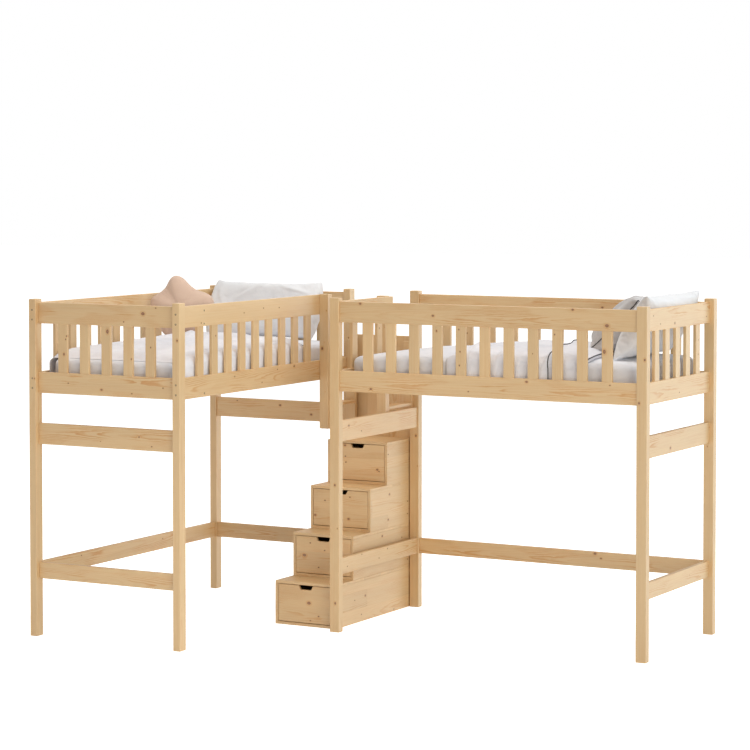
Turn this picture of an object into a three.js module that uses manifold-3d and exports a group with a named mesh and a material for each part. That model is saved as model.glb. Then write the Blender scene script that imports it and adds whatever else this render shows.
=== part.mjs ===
// Twin loft bed in solid pine: two high beds set in an L, with a staircase of four drawer
// modules between them that climbs to the wall. Millimetres, +Z up, +X along the whole set
// seen from the front, +Y towards the wall. The origin is under the middle of the set.
//
// Both beds are one design. The left bed stands with its length towards the wall, the right
// bed with its length along the front. Each has its low rails on three sides and an opening
// in its guard beside the top of the stairs.

import * as THREE from 'three';
import Module from 'manifold-3d';
import { mergeVertices } from 'three/addons/utils/BufferGeometryUtils.js';

const wasm = await Module();
wasm.setup();

// Driving sizes of a bed
const bed_length = 2112;
const bed_width = 1096;
const post_height = 2070;
const post_along = 65;        // side of a post that lies along the bed's length
const post_across = 50;       // side of a post that lies across the bed
const board_arris = 2.5;      // flat planed on every long edge
const joint_gap = 0.3;        // between pieces that are bolted or stood together

// Rails
const rail_thickness = 28;
const long_rail_inset = 12;   // from the posts' outer face, on the long sides
const end_rail_inset = 28;    // the same, on the ends
const low_rail_bottom = 355;
const low_rail_height = 100;
const mid_rail_bottom = 1181;
const mid_rail_height = 130;
const guard_bottom = 1495;
const guard_height = 554;
const guard_rail_height = 128;

// Guard slats
const slat_width = 66;
const slat_thickness = 20;
const slat_tenon = 22;
const long_slat_count = 11;
const long_slat_margin = 160.7; // from a post to the first slat, on the long sides
const end_slat_count = 5;
const end_slat_margin = 145.9;

// Ledgers and the roll-up slat base
const ledger_height = 40;
const ledger_thickness = 22;
const ledger_drop = 5;        // ledger's underside above the guard's underside
const base_slat_width = 68;
const base_slat_thickness = 18;
const base_slat_count = 14;
const base_side_clearance = 4;
const base_end_clearance = 30;
const tape_width = 32;
const tape_thickness = 2.4;
const tape_sunk = 1.2;
const tape_from_middle = 330;

// Way in from the stairs
const entry_width = 330;      // from the entry post to the back post
const entry_post_width = 65;
const entry_post_depth = 50;
const entry_post_proud = 4;   // above the guard
const cheek_depth = 25;
const cheek_top = 1741;
const entry_step_bottom = 1322;
const entry_step_thickness = 20;

// Staircase of drawer modules
const stair_width = 440;
const stair_left_gap = 0.5;
const stair_right_gap = 7.5;
const stair_rise = 276;
const stair_run = 220.5;
const stair_count = 4;
const top_module_depth = 325.2; // from the front of the highest module to the back panel
const carcass_board = 18;
const carcass_back = 12;
const tread_thickness = 18;
const back_panel_thickness = 18;
const back_panel_height = 1771;

// Drawers
const drawer_reveal = 3;
const drawer_reveal_bottom = 4;
const drawer_front_thickness = 18;
const drawer_front_recess = 1.5;
const drawer_side_clearance = 4;
const drawer_rear_clearance = 8;
const drawer_wall = 12;
const drawer_floor = 8;
const drawer_box_drop = 26;   // box walls below the top of the front
const notch_top_width = 102;
const notch_bottom_width = 80;
const notch_depth = 26;
const notch_corner = 9;

// Mattresses
const mattress_end_clearance = 15;  // to the end guards
const mattress_side_clearance = 18; // to the long guards
const mattress_side_height = 154;
const mattress_crown = 34;
const mattress_edge_round = 32;
const mattress_foot_round = 8;
const soft_gap = 0.8;         // between soft pieces and what carries them
const facet_drop = 1.1;       // the mattress's facets under its true crown, where pillows stand

// Duvets
const duvet_thickness = 20;
const duvet_hem = 9;
const duvet_drop = 92;        // side flap below the mattress edge
const duvet_flap_thickness = 10;
const left_duvet_start = 62;  // from the mattress's start end to the duvet's
const left_duvet_finish = 478; // from the duvet's finish end to the mattress's
const right_duvet_start = 705;
const right_duvet_finish = 335;
const foldback_length = 420;  // the layer turned back over the right duvet
const foldback_height = 22;
const foldback_slope = 90;    // how far its edge runs askew
const foldback_edge = 35;

// Pillows and star cushion
const pillow_length = 820;
const pillow_height = 398;
const pillow_thickness = 140;
const slumped_pillow_length = 620;
const slumped_pillow_height = 465;
const slumped_pillow_thickness = 120;
const star_radius = 212;
const star_valley = 148;
const star_thickness = 140;

// Where they lean: distances from the mattress's end to the piece's middle, and along it
const left_pillow_from_end = 88;
const left_pillow_aside = 47;
const left_pillow_lean = 68;  // degrees up from lying flat
const back_pillow_from_end = 88;
const back_pillow_aside = 60;
const back_pillow_lean = 68;
const front_pillow_from_end = 310;
const front_pillow_aside = 160;
const front_pillow_lean = 44;
const star_from_start = 1209; // from the mattress's start end to the star's middle
const star_from_side = 192;   // from the mattress's far side
const star_lean = 80;
const star_turn = -61;

const pine = 0xd9b98c;
const pine_shade = 0xcfab7b;
const cotton = 0xf0efee;
const cotton_grey = 0xd8d6d6;
const blush = 0xcfa595;

// Sizes worked out from the ones above
const half_turn = Math.PI;
const quarter_turn = half_turn / 2;
const { degToRad } = THREE.MathUtils;
const wall_line = bed_length - post_along;                       // front of the back posts
const right_bed_y = wall_line - (bed_width - post_across);
const right_bed_x = bed_width + stair_left_gap + stair_width + stair_right_gap;
const overall_length = right_bed_x + bed_length;
const guard_top = guard_bottom + guard_height;
const base_bottom = guard_bottom + ledger_drop + ledger_height + joint_gap;
const base_top = base_bottom + base_slat_thickness;
const mattress_bottom = base_top + joint_gap;
const mattress_edge_top = mattress_bottom + mattress_side_height;
const mattress_length = bed_length - 2 * (end_rail_inset + rail_thickness + mattress_end_clearance);
const mattress_width = bed_width - 2 * (long_rail_inset + rail_thickness + mattress_side_clearance);
const left_duvet_length = mattress_length - left_duvet_start - left_duvet_finish;
const right_duvet_length = mattress_length - right_duvet_start - right_duvet_finish;
const stair_x = bed_width + stair_left_gap;
const back_panel_y = right_bed_y + bed_width - back_panel_thickness;
const stair_back = back_panel_y - joint_gap;
const stair_front = stair_back - top_module_depth - (stair_count - 1) * stair_run;

function material(color, roughness = 0.6) {
  return new THREE.MeshStandardMaterial({ color, roughness, metalness: 0 });
}

function named(name, geometry, color, roughness) {
  const mesh = new THREE.Mesh(geometry, material(color, roughness));
  mesh.name = name;
  return mesh;
}

// Section of a planed board: a rectangle with its four corners taken off.
function board_section(width, height) {
  const w = width / 2;
  const h = height / 2;
  const cut = Math.min(board_arris, w / 2, h / 2);
  const corners = [
    [w - cut, -h], [w, cut - h], [w, h - cut], [w - cut, h],
    [cut - w, h], [-w, h - cut], [-w, cut - h], [cut - w, -h],
  ];
  return new THREE.Shape(corners.map(([x, y]) => new THREE.Vector2(x, y)));
}

// A board filling the box from low to high, with its arrises along the given axis.
function board_geometry(low, high, along) {
  const size = high.map((value, i) => value - low[i]);
  const middle = high.map((value, i) => (value + low[i]) / 2);
  const across = { x: [size[2], size[1]], y: [size[0], size[2]], z: [size[0], size[1]] }[along];
  const length = size[{ x: 0, y: 1, z: 2 }[along]];
  const section = board_section(...across);
  const geometry = new THREE.ExtrudeGeometry(section, { depth: length, bevelEnabled: false });
  geometry.translate(0, 0, -length / 2);
  if (along === 'x') geometry.rotateY(quarter_turn);
  if (along === 'y') geometry.rotateX(quarter_turn);
  geometry.translate(...middle);
  return geometry;
}

function board(name, low, high, along, color = pine) {
  return named(name, board_geometry(low, high, along), color);
}

function box_geometry(low, high) {
  const size = high.map((value, i) => value - low[i]);
  const geometry = new THREE.BoxGeometry(...size);
  geometry.translate(...high.map((value, i) => (value + low[i]) / 2));
  return geometry;
}

// Closed solid for joining and cutting, from a geometry.
function solid(geometry) {
  const bare = geometry.clone();
  bare.deleteAttribute('normal');
  bare.deleteAttribute('uv');
  const merged = mergeVertices(bare);
  return new wasm.Manifold(new wasm.Mesh({
    numProp: 3,
    vertProperties: new Float32Array(merged.attributes.position.array),
    triVerts: new Uint32Array(merged.index.array),
  }));
}

function geometry_of(manifold) {
  const mesh = manifold.getMesh();
  const geometry = new THREE.BufferGeometry();
  geometry.setAttribute('position', new THREE.BufferAttribute(mesh.vertProperties, 3));
  geometry.setIndex(new THREE.BufferAttribute(mesh.triVerts, 1));
  geometry.computeVertexNormals();
  return geometry;
}

function joined(geometries) {
  return geometry_of(geometries.map(solid).reduce((whole, next) => whole.add(next)));
}

// Closed surface over rings of points: rings[k] is a list of [x, y, z] turning anticlockwise
// seen from above, from the lowest ring up, closed by a point at each end.
function ring_surface(rings, first, last) {
  const count = rings[0].length;
  const points = [first, ...rings.flat(), last];
  const end = points.length - 1;
  const faces = [];
  for (let i = 0; i < count; i++) {
    const next = (i + 1) % count;
    faces.push(0, next + 1, i + 1);
    for (let k = 1; k < rings.length; k++) {
      const lower = (k - 1) * count + 1;
      const upper = k * count + 1;
      faces.push(lower + i, lower + next, upper + next, lower + i, upper + next, upper + i);
    }
    const top = (rings.length - 1) * count + 1;
    faces.push(end, top + i, top + next);
  }
  return indexed(points, faces);
}

function indexed(points, faces) {
  const geometry = new THREE.BufferGeometry();
  geometry.setAttribute('position', new THREE.Float32BufferAttribute(points.flat(), 3));
  geometry.setIndex(faces);
  geometry.computeVertexNormals();
  return geometry;
}

// Guard
//
// A guard is a top rail, a bottom rail and upright slats tenoned into both, glued up as one
// panel. It runs along its own X from 0, its thickness is on +Y and its underside at Z 0.
// The slats stand at an even pitch with the margin at both ends. top_length shortens the top
// rail where the guard opens to the stairs, and slats that would reach slat_limit are left
// out. ledger_side +1 or -1 glues a ledger on the +Y or -Y face.
function guard_geometry({ length, count, margin, top_length, slat_limit, ledger_side }) {
  const slat_low = (rail_thickness - slat_thickness) / 2;
  const slat_high = slat_low + slat_thickness;
  const slat_pitch = (length - 2 * margin - slat_width) / (count - 1);
  const top_rail = guard_height - guard_rail_height;
  const pieces = [
    board_geometry([0, 0, 0], [length, rail_thickness, guard_rail_height], 'x'),
    board_geometry([0, 0, top_rail], [top_length, rail_thickness, guard_height], 'x'),
  ];
  for (let i = 0; i < count; i++) {
    const x = margin + i * slat_pitch;
    if (x + slat_width > slat_limit) continue;
    const low = [x, slat_low, guard_rail_height - slat_tenon];
    const high = [x + slat_width, slat_high, top_rail + slat_tenon];
    pieces.push(board_geometry(low, high, 'z'));
  }
  if (ledger_side) {
    const glue_line = board_arris;
    const y = ledger_side > 0
      ? [rail_thickness - glue_line, rail_thickness + ledger_thickness]
      : [-ledger_thickness, glue_line];
    const z = [ledger_drop, ledger_drop + ledger_height];
    pieces.push(box_geometry([0, y[0], z[0]], [length, y[1], z[1]]));
  }
  return joined(pieces);
}

// Roll-up base: cross slats held at an even pitch by two tapes let into their undersides.
function slat_base_geometry() {
  const rail_inner = long_rail_inset + rail_thickness + base_side_clearance;
  const end_inner = end_rail_inset + rail_thickness + base_end_clearance;
  const y = [rail_inner, bed_width - rail_inner];
  const run = bed_length - 2 * end_inner - base_slat_width;
  const pieces = [];
  for (let i = 0; i < base_slat_count; i++) {
    const x = end_inner + run * i / (base_slat_count - 1);
    pieces.push(board_geometry([x, y[0], base_bottom], [x + base_slat_width, y[1], base_top], 'y'));
  }
  for (const side of [-1, 1]) {
    const middle = bed_width / 2 + side * tape_from_middle;
    const tape_start = end_inner + board_arris;
    const tape_top = base_bottom + tape_sunk;
    const low = [tape_start, middle - tape_width / 2, tape_top - tape_thickness];
    const high = [bed_length - tape_start, middle + tape_width / 2, tape_top];
    pieces.push(box_geometry(low, high));
  }
  return joined(pieces);
}

// Frame of one bed
//
// X runs along the bed from its outer front corner, Y across it from its open long side.
// entry is 'side' where the stairs meet the open long side, 'end' where they meet the end
// at X 0. Both openings are at the wall.
function bed_frame(prefix, entry) {
  const bed = new THREE.Group();
  const inner_x = [post_along + joint_gap, bed_length - post_along - joint_gap];
  const inner_y = [post_across + joint_gap, bed_width - post_across - joint_gap];
  const near_rail = [long_rail_inset, long_rail_inset + rail_thickness];
  const far_rail = near_rail.map((value) => bed_width - value).reverse();
  const start_rail = [end_rail_inset, end_rail_inset + rail_thickness];
  const finish_rail = start_rail.map((value) => bed_length - value).reverse();
  const long_clear = inner_x[1] - inner_x[0];
  const end_clear = inner_y[1] - inner_y[0];

  for (const [x, end] of [[0, 'start'], [bed_length - post_along, 'finish']]) {
    for (const [y, side] of [[0, 'near'], [bed_width - post_across, 'far']]) {
      const high = [x + post_along, y + post_across, post_height];
      bed.add(board(`${prefix}_post_${end}_${side}`, [x, y, 0], high, 'z'));
    }
  }

  // Low rails on both ends and the far long side, mid rails on both ends
  const levels = { low: [low_rail_bottom, low_rail_height], mid: [mid_rail_bottom, mid_rail_height] };
  for (const [level, [bottom, height]] of Object.entries(levels)) {
    for (const [end, x] of [['start', start_rail], ['finish', finish_rail]]) {
      const low = [x[0], inner_y[0], bottom];
      const high = [x[1], inner_y[1], bottom + height];
      bed.add(board(`${prefix}_${level}_rail_${end}`, low, high, 'y', pine_shade));
    }
  }
  const low_top = low_rail_bottom + low_rail_height;
  bed.add(board(`${prefix}_low_rail_far`, [inner_x[0], far_rail[0], low_rail_bottom],
    [inner_x[1], far_rail[1], low_top], 'x', pine_shade));

  // Guards: the one beside the stairs has its top rail cut short behind the entry post
  const side_opens = entry === 'side';
  const long_side = { length: long_clear, count: long_slat_count, margin: long_slat_margin };
  const end_side = { length: end_clear, count: end_slat_count, margin: end_slat_margin };
  const guard = (name, side, opens, ledger_side) => {
    const top_length = opens ? side.length + joint_gap - entry_width : side.length;
    const slat_limit = opens ? top_length - entry_post_depth : side.length;
    const geometry = guard_geometry({ ...side, top_length, slat_limit, ledger_side });
    const mesh = named(`${prefix}_guard_${name}`, geometry, pine);
    bed.add(mesh);
    return mesh;
  };
  guard('near', long_side, side_opens, 1).position.set(inner_x[0], near_rail[0], guard_bottom);
  guard('far', long_side, false, -1).position.set(inner_x[0], far_rail[0], guard_bottom);
  const start_guard = guard('start', end_side, !side_opens, 0);
  start_guard.position.set(start_rail[1], inner_y[0], guard_bottom);
  start_guard.rotation.z = quarter_turn;
  const finish_guard = guard('finish', end_side, false, 0);
  finish_guard.position.set(finish_rail[1], inner_y[0], guard_bottom);
  finish_guard.rotation.z = quarter_turn;

  bed.add(named(`${prefix}_slat_base`, slat_base_geometry(), pine_shade));
  bed.add(...entry_pieces(prefix, side_opens));
  return bed;
}

// The way in: an entry post lapped on the outside of the guard, a cheek in front of the back
// post, and a step between the two.
function entry_pieces(prefix, side_opens) {
  const face = side_opens ? long_rail_inset : end_rail_inset;
  const wall_end = (side_opens ? bed_length - post_along : bed_width - post_across) - joint_gap;
  const post_back = wall_end + joint_gap - entry_width;
  const out = [face - joint_gap - entry_post_width, face - joint_gap];
  const step_ends = [post_back + joint_gap, wall_end - cheek_depth - joint_gap];
  const place = (along, across) => (side_opens ? [along, across] : [across, along]);
  const piece = (name, along, z, axis) => board(`${prefix}_${name}`,
    [...place(along[0], out[0]), z[0]], [...place(along[1], out[1]), z[1]], axis);
  const hung = [mid_rail_bottom, guard_top + entry_post_proud];
  const step = [entry_step_bottom, entry_step_bottom + entry_step_thickness];
  return [
    piece('entry_post', [post_back - entry_post_depth, post_back], hung, 'z'),
    piece('entry_cheek', [wall_end - cheek_depth, wall_end], [mid_rail_bottom, cheek_top], 'z'),
    piece('entry_step', step_ends, step, side_opens ? 'x' : 'y'),
  ];
}

// Drawer modules
//
// Each module is a box open to the front: a bottom, two sides and a back, under its tread.
function carcass_geometry(depth, height) {
  const inner = stair_width - carcass_board;
  const outer = solid(box_geometry([0, 0, 0], [stair_width, depth, height]));
  const hollow_low = [carcass_board, -depth, carcass_board];
  const hollow_high = [inner, depth - carcass_back, 2 * height];
  return geometry_of(outer.subtract(solid(box_geometry(hollow_low, hollow_high))));
}

// Drawer front with its hand notch: a trapezoid let into the top edge with rounded corners.
function drawer_front_geometry(width, height) {
  const w = width / 2;
  const top = notch_top_width / 2;
  const low = notch_bottom_width / 2;
  const floor = height - notch_depth;
  const slope = (top - low) * notch_corner / notch_depth;
  const shape = new THREE.Shape();
  shape.moveTo(-w, 0);
  shape.lineTo(w, 0);
  shape.lineTo(w, height);
  shape.lineTo(top + notch_corner / 2, height);
  shape.quadraticCurveTo(top, height, top - slope / 2, height - notch_corner / 2);
  shape.lineTo(low + slope, floor + notch_corner);
  shape.quadraticCurveTo(low, floor, low - notch_corner, floor);
  shape.lineTo(notch_corner - low, floor);
  shape.quadraticCurveTo(-low, floor, -low - slope, floor + notch_corner);
  shape.lineTo(slope / 2 - top, height - notch_corner / 2);
  shape.quadraticCurveTo(-top, height, -top - notch_corner / 2, height);
  shape.lineTo(-w, height);
  const settings = { depth: drawer_front_thickness, bevelEnabled: false, curveSegments: 3 };
  const geometry = new THREE.ExtrudeGeometry(shape, settings);
  geometry.rotateX(quarter_turn);
  geometry.translate(w, drawer_front_thickness, 0);
  return geometry;
}

// Drawer box: floor, two sides and a back, closed at the front by the drawer front.
function drawer_box_geometry(width, depth, height) {
  const outer = solid(box_geometry([0, 0, 0], [width, depth, height]));
  const low = [drawer_wall, -depth, drawer_floor];
  const high = [width - drawer_wall, depth - drawer_wall, 2 * height];
  return geometry_of(outer.subtract(solid(box_geometry(low, high))));
}

function drawer_module(index) {
  const module = new THREE.Group();
  const front = stair_front + index * stair_run;
  const depth = stair_back - front;
  const carcass_height = stair_rise - tread_thickness - joint_gap;
  const number = index + 1;
  module.position.set(stair_x, front, index * stair_rise);

  module.add(named(`stair_carcass_${number}`, carcass_geometry(depth, carcass_height), pine));
  module.add(board(`stair_tread_${number}`, [0, 0, stair_rise - tread_thickness],
    [stair_width, depth, stair_rise - joint_gap], 'x'));

  const opening = stair_width - 2 * carcass_board;
  const front_width = opening - 2 * drawer_reveal;
  const front_low = carcass_board + drawer_reveal_bottom;
  const front_height = stair_rise - tread_thickness - drawer_reveal - front_low;
  const face = named(`drawer_front_${number}`, drawer_front_geometry(front_width, front_height), pine);
  face.position.set(carcass_board + drawer_reveal, drawer_front_recess, front_low);

  const box_width = opening - 2 * drawer_side_clearance;
  const box_start = drawer_front_recess + drawer_front_thickness + joint_gap;
  const box_depth = depth - carcass_back - drawer_rear_clearance - box_start;
  const box_low = carcass_board + joint_gap;
  const box_height = front_low + front_height - drawer_box_drop - box_low;
  const box = named(`drawer_box_${number}`,
    drawer_box_geometry(box_width, box_depth, box_height), pine_shade);
  box.position.set(carcass_board + drawer_side_clearance, box_start, box_low);
  module.add(face, box);
  return module;
}

// The modules stand on each other in front of a tall panel that is fixed between the two
// beds' back posts and closes the wall side up to the way in.
function staircase() {
  const stairs = new THREE.Group();
  for (let i = 0; i < stair_count; i++) stairs.add(drawer_module(i));
  const panel_low = [bed_width + joint_gap, back_panel_y, 0];
  const panel_high = [right_bed_x - joint_gap, back_panel_y + back_panel_thickness, back_panel_height];
  stairs.add(board('stair_back_panel', panel_low, panel_high, 'z', pine_shade));
  return stairs;
}

// Mattresses
//
// Outlines are squircles. The distance of a point from the middle, as a share of the
// squircle through the half sizes, gives the crown.
const squircle_power = 9;
const half_length = mattress_length / 2;
const half_width = mattress_width / 2;

function squircle(a, b, angle) {
  const bend = (value) => Math.sign(value) * Math.abs(value) ** (2 / squircle_power);
  return [a * bend(Math.cos(angle)), b * bend(Math.sin(angle))];
}

function crown_at(x, y) {
  const a = Math.abs(x) / (half_length - mattress_edge_round);
  const b = Math.abs(y) / (half_width - mattress_edge_round);
  const share = Math.min(1, (a ** squircle_power + b ** squircle_power) ** (1 / squircle_power));
  return mattress_edge_top + mattress_crown * (1 - share ** 2);
}

function mattress_geometry() {
  const around = 32;
  const round_steps = 4;
  const crown_steps = 4;
  const ring = (inset, z) => Array.from({ length: around }, (_, i) => [
    ...squircle(half_length - inset, half_width - inset, (i + 0.5) * 2 * half_turn / around), z]);
  const rings = [];
  rings.push(ring(mattress_foot_round, mattress_bottom));
  rings.push(ring(0, mattress_bottom + mattress_foot_round));
  for (let i = 0; i <= round_steps; i++) {
    const angle = quarter_turn * i / round_steps;
    const inset = mattress_edge_round * (1 - Math.cos(angle));
    rings.push(ring(inset, mattress_edge_top - mattress_edge_round * (1 - Math.sin(angle))));
  }
  for (let i = 1; i < crown_steps; i++) {
    const share = 1 - i / crown_steps;
    const a = (half_length - mattress_edge_round) * share;
    const b = (half_width - mattress_edge_round) * share;
    const z = mattress_edge_top + mattress_crown * (1 - share ** 2);
    rings.push(Array.from({ length: around }, (_, n) => [
      ...squircle(a, b, (n + 0.5) * 2 * half_turn / around), z]));
  }
  const top = mattress_edge_top + mattress_crown;
  return ring_surface(rings, [0, 0, mattress_bottom], [0, 0, top]);
}

// Duvets
//
// The section across the bed follows the mattress: up one side, round the edge, over the
// crown, round the other edge and down. Soft ridges run over it: each is a line between two
// points, given as shares of the duvet's length and width, with a height and a width that
// are shares of its thickness.
const left_ridge_shares = [
  { from_share: [0.02, 0.35], to_share: [0.34, 0.02], height_share: 0.45, width_share: 2.3 },
  { from_share: [0.30, 0.75], to_share: [0.62, 0.05], height_share: 0.6, width_share: 2.6 },
  { from_share: [0.55, 0.95], to_share: [0.97, 0.40], height_share: 0.65, width_share: 3 },
  { from_share: [0.70, 0.30], to_share: [0.98, 0.03], height_share: 0.55, width_share: 2 },
];
const right_ridge_shares = [
  { from_share: [0.02, 0.05], to_share: [0.30, 0.55], height_share: 0.55, width_share: 2.4 },
  { from_share: [0.20, 0.02], to_share: [0.45, 0.40], height_share: 0.45, width_share: 2 },
  { from_share: [0.10, 0.95], to_share: [0.50, 0.60], height_share: 0.6, width_share: 3 },
];

function ridge_height(ridge_shares, length, x, y) {
  let total = 0;
  for (const { from_share, to_share, height_share, width_share } of ridge_shares) {
    const height = height_share * duvet_thickness;
    const width = width_share * duvet_thickness;
    const start = [from_share[0] * length, from_share[1] * mattress_width];
    const way = [to_share[0] * length - start[0], to_share[1] * mattress_width - start[1]];
    const reach = Math.hypot(...way);
    const unit = way.map((value) => value / reach);
    const offset = [x - start[0], y - start[1]];
    const along = offset[0] * unit[0] + offset[1] * unit[1];
    const aside = offset[0] * unit[1] - offset[1] * unit[0];
    const past = Math.max(0, -along, along - reach);
    total += height * Math.exp(-((aside / width) ** 2) - (past / width) ** 2);
  }
  return total;
}

function smooth_step(value) {
  const t = Math.min(1, Math.max(0, value));
  return t * t * (3 - 2 * t);
}

// Height that the turned-back layer of a duvet adds at a place on it.
function foldback_rise(length, fold, x, y) {
  if (!fold) return 0;
  const edge = length - foldback_length + foldback_slope * (0.5 - y / mattress_width);
  return foldback_height * smooth_step((x - edge) / foldback_edge);
}

function duvet_layer(length, ridge_shares, fold, x, y) {
  const full = smooth_step(Math.min(x, length - x) / (3 * duvet_thickness));
  const body = duvet_hem + (duvet_thickness - duvet_hem) * full;
  return body + full * ridge_height(ridge_shares, length, x, y) + foldback_rise(length, fold, x, y);
}

function duvet_geometry(start, length, ridge_shares, fold) {
  const long_steps = 26;
  const top_steps = 12;
  const round_steps = 4;
  const flat_half = half_width - mattress_edge_round;
  const section = [];
  const flap_low = -mattress_edge_round - duvet_drop;
  section.push({ y: -half_width, drop: flap_low, out: [-1, 0], top: 0 });
  for (let i = 0; i <= round_steps; i++) {
    const angle = quarter_turn * i / round_steps;
    const out = [-Math.cos(angle), Math.sin(angle)];
    const y = -flat_half + mattress_edge_round * out[0];
    section.push({ y, drop: mattress_edge_round * (out[1] - 1), out, top: i / round_steps });
  }
  for (let i = 1; i < top_steps; i++) {
    const y = flat_half * (2 * i / top_steps - 1);
    section.push({ y, drop: 0, out: [0, 1], top: 1 });
  }
  const mirrored = section.slice(0, round_steps + 2).reverse();
  for (const { y, drop, out, top } of mirrored) {
    section.push({ y: -y, drop, out: [-out[0], out[1]], top });
  }

  const inner = [];
  const outer = [];
  for (let k = 0; k <= long_steps; k++) {
    const along = length * k / long_steps;
    const x = start + along - half_length;
    for (const { y, drop, out, top } of section) {
      const flat_y = Math.max(-flat_half, Math.min(flat_half, y));
      const z = crown_at(x, flat_y) + drop;
      const layer = duvet_layer(length, ridge_shares, fold, along, flat_y + mattress_width / 2);
      const depth = soft_gap + duvet_flap_thickness * (1 - top) + layer * top;
      inner.push([x, y + out[0] * soft_gap, z + out[1] * soft_gap]);
      outer.push([x, y + out[0] * depth, z + out[1] * depth]);
    }
  }
  return sheet_surface(inner, outer, long_steps + 1, section.length);
}

// Closed solid between two grids of the same points, inner and outer, joined at their rims.
function sheet_surface(inner, outer, rows, columns) {
  const lift = inner.length;
  const faces = [];
  const quad = (a, b, c, d) => faces.push(a, b, c, a, c, d);
  for (let r = 0; r + 1 < rows; r++) {
    for (let c = 0; c + 1 < columns; c++) {
      const a = r * columns + c;
      const b = a + columns;
      quad(a, a + 1, b + 1, b);
      quad(lift + a, lift + b, lift + b + 1, lift + a + 1);
    }
    const left = r * columns;
    const right = left + columns - 1;
    quad(left, left + columns, lift + left + columns, lift + left);
    quad(right, lift + right, lift + right + columns, right + columns);
  }
  const last = (rows - 1) * columns;
  for (let c = 0; c + 1 < columns; c++) {
    quad(c, lift + c, lift + c + 1, c + 1);
    quad(last + c, last + c + 1, lift + last + c + 1, lift + last + c);
  }
  return indexed([...inner, ...outer], faces);
}

// Pillows
//
// Two skins meet in a seam. The plan is drawn in between the corners, and the thickness
// falls from the middle to the seam. It lies flat, its length along X.
function pillow_geometry(length, height, thickness) {
  const long_steps = 16;
  const short_steps = 12;
  const draw_share = 0.055;
  const fullness = 0.42;
  const place = (i, j, side) => {
    const u = Math.sin(quarter_turn * (2 * i / long_steps - 1));
    const v = Math.sin(quarter_turn * (2 * j / short_steps - 1));
    const x = length / 2 * u * (1 - draw_share * (1 - v * v) * u * u);
    const y = height / 2 * v * (1 - draw_share * (1 - u * u) * v * v);
    const rise = Math.max(0, (1 - u * u) * (1 - v * v)) ** fullness;
    return [x, y, side * thickness / 2 * rise];
  };
  const points = [];
  const top = [];
  const bottom = [];
  for (let i = 0; i <= long_steps; i++) {
    top.push([]);
    bottom.push([]);
    for (let j = 0; j <= short_steps; j++) {
      const rim = i === 0 || j === 0 || i === long_steps || j === short_steps;
      top[i].push(points.push(place(i, j, 1)) - 1);
      bottom[i].push(rim ? top[i][j] : points.push(place(i, j, -1)) - 1);
    }
  }
  const faces = [];
  for (let i = 0; i < long_steps; i++) {
    for (let j = 0; j < short_steps; j++) {
      const [a, b, c, d] = [top[i][j], top[i + 1][j], top[i + 1][j + 1], top[i][j + 1]];
      faces.push(a, b, c, a, c, d);
      const [e, f, g, h] = [bottom[i][j], bottom[i + 1][j], bottom[i + 1][j + 1], bottom[i][j + 1]];
      faces.push(e, g, f, e, h, g);
    }
  }
  return indexed(points, faces);
}

// Star cushion: five blunt arms round a plump middle, lying flat. It has slumped a little, so
// each arm points its own way, as a share of a whole turn from +X, and has its own reach, as a
// share of the radius. Between two arms the edge falls to the valley and rises again.
const star_arm_shares = [
  { turn_share: 0.036, reach_share: 1.05 },
  { turn_share: 0.272, reach_share: 1 },
  { turn_share: 0.458, reach_share: 0.89 },
  { turn_share: 0.681, reach_share: 0.9 },
  { turn_share: 0.833, reach_share: 0.88 },
];

function star_edge(share) {
  const arm_power = 1.15;
  const last = star_arm_shares.length - 1;
  const after = star_arm_shares.findIndex(({ turn_share }) => turn_share > share);
  const next = star_arm_shares[after < 0 ? 0 : after];
  const before = star_arm_shares[after > 0 ? after - 1 : last];
  const gap = (next.turn_share - before.turn_share + 1) % 1;
  const way = ((share - before.turn_share + 1) % 1) / gap;
  const { reach_share } = way < 1 / 2 ? before : next;
  const arm = ((1 + Math.cos(2 * half_turn * way)) / 2) ** arm_power;
  return star_valley + (reach_share * star_radius - star_valley) * arm;
}

function star_geometry() {
  const around = 50;
  const ring_shares = [0.97, 0.86, 0.66, 0.36];
  const plump_power = 2.6;
  const edge = (angle) => star_edge(angle / (2 * half_turn));
  const ring = (share, side) => Array.from({ length: around }, (_, i) => {
    const angle = 2 * half_turn * i / around;
    const reach = edge(angle) * share;
    const thinner = share * edge(angle) / star_radius + 1 - share;
    const z = side * star_thickness / 2 * thinner * Math.sqrt(1 - share ** plump_power);
    return [reach * Math.cos(angle), reach * Math.sin(angle), z];
  });
  const lower = [...ring_shares].reverse().map((share) => ring(share, -1));
  const upper = ring_shares.map((share) => ring(share, 1));
  const rings = [...lower, ring(1, 0), ...upper];
  return ring_surface(rings, [0, 0, -star_thickness / 2], [0, 0, star_thickness / 2]);
}

// Lowers a turned piece onto the bedding: it ends soft_gap above the surface that
// support(x, y) gives less the drop, at the point where the two come nearest.
function settle(mesh, support, drop = 0) {
  mesh.position.z = 0;
  mesh.updateMatrix();
  const points = mesh.geometry.attributes.position;
  const point = new THREE.Vector3();
  let nearest = Infinity;
  for (let i = 0; i < points.count; i++) {
    point.fromBufferAttribute(points, i).applyMatrix4(mesh.matrix);
    nearest = Math.min(nearest, point.z - support(point.x, point.y));
  }
  mesh.position.z = soft_gap - drop - nearest;
}

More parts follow.
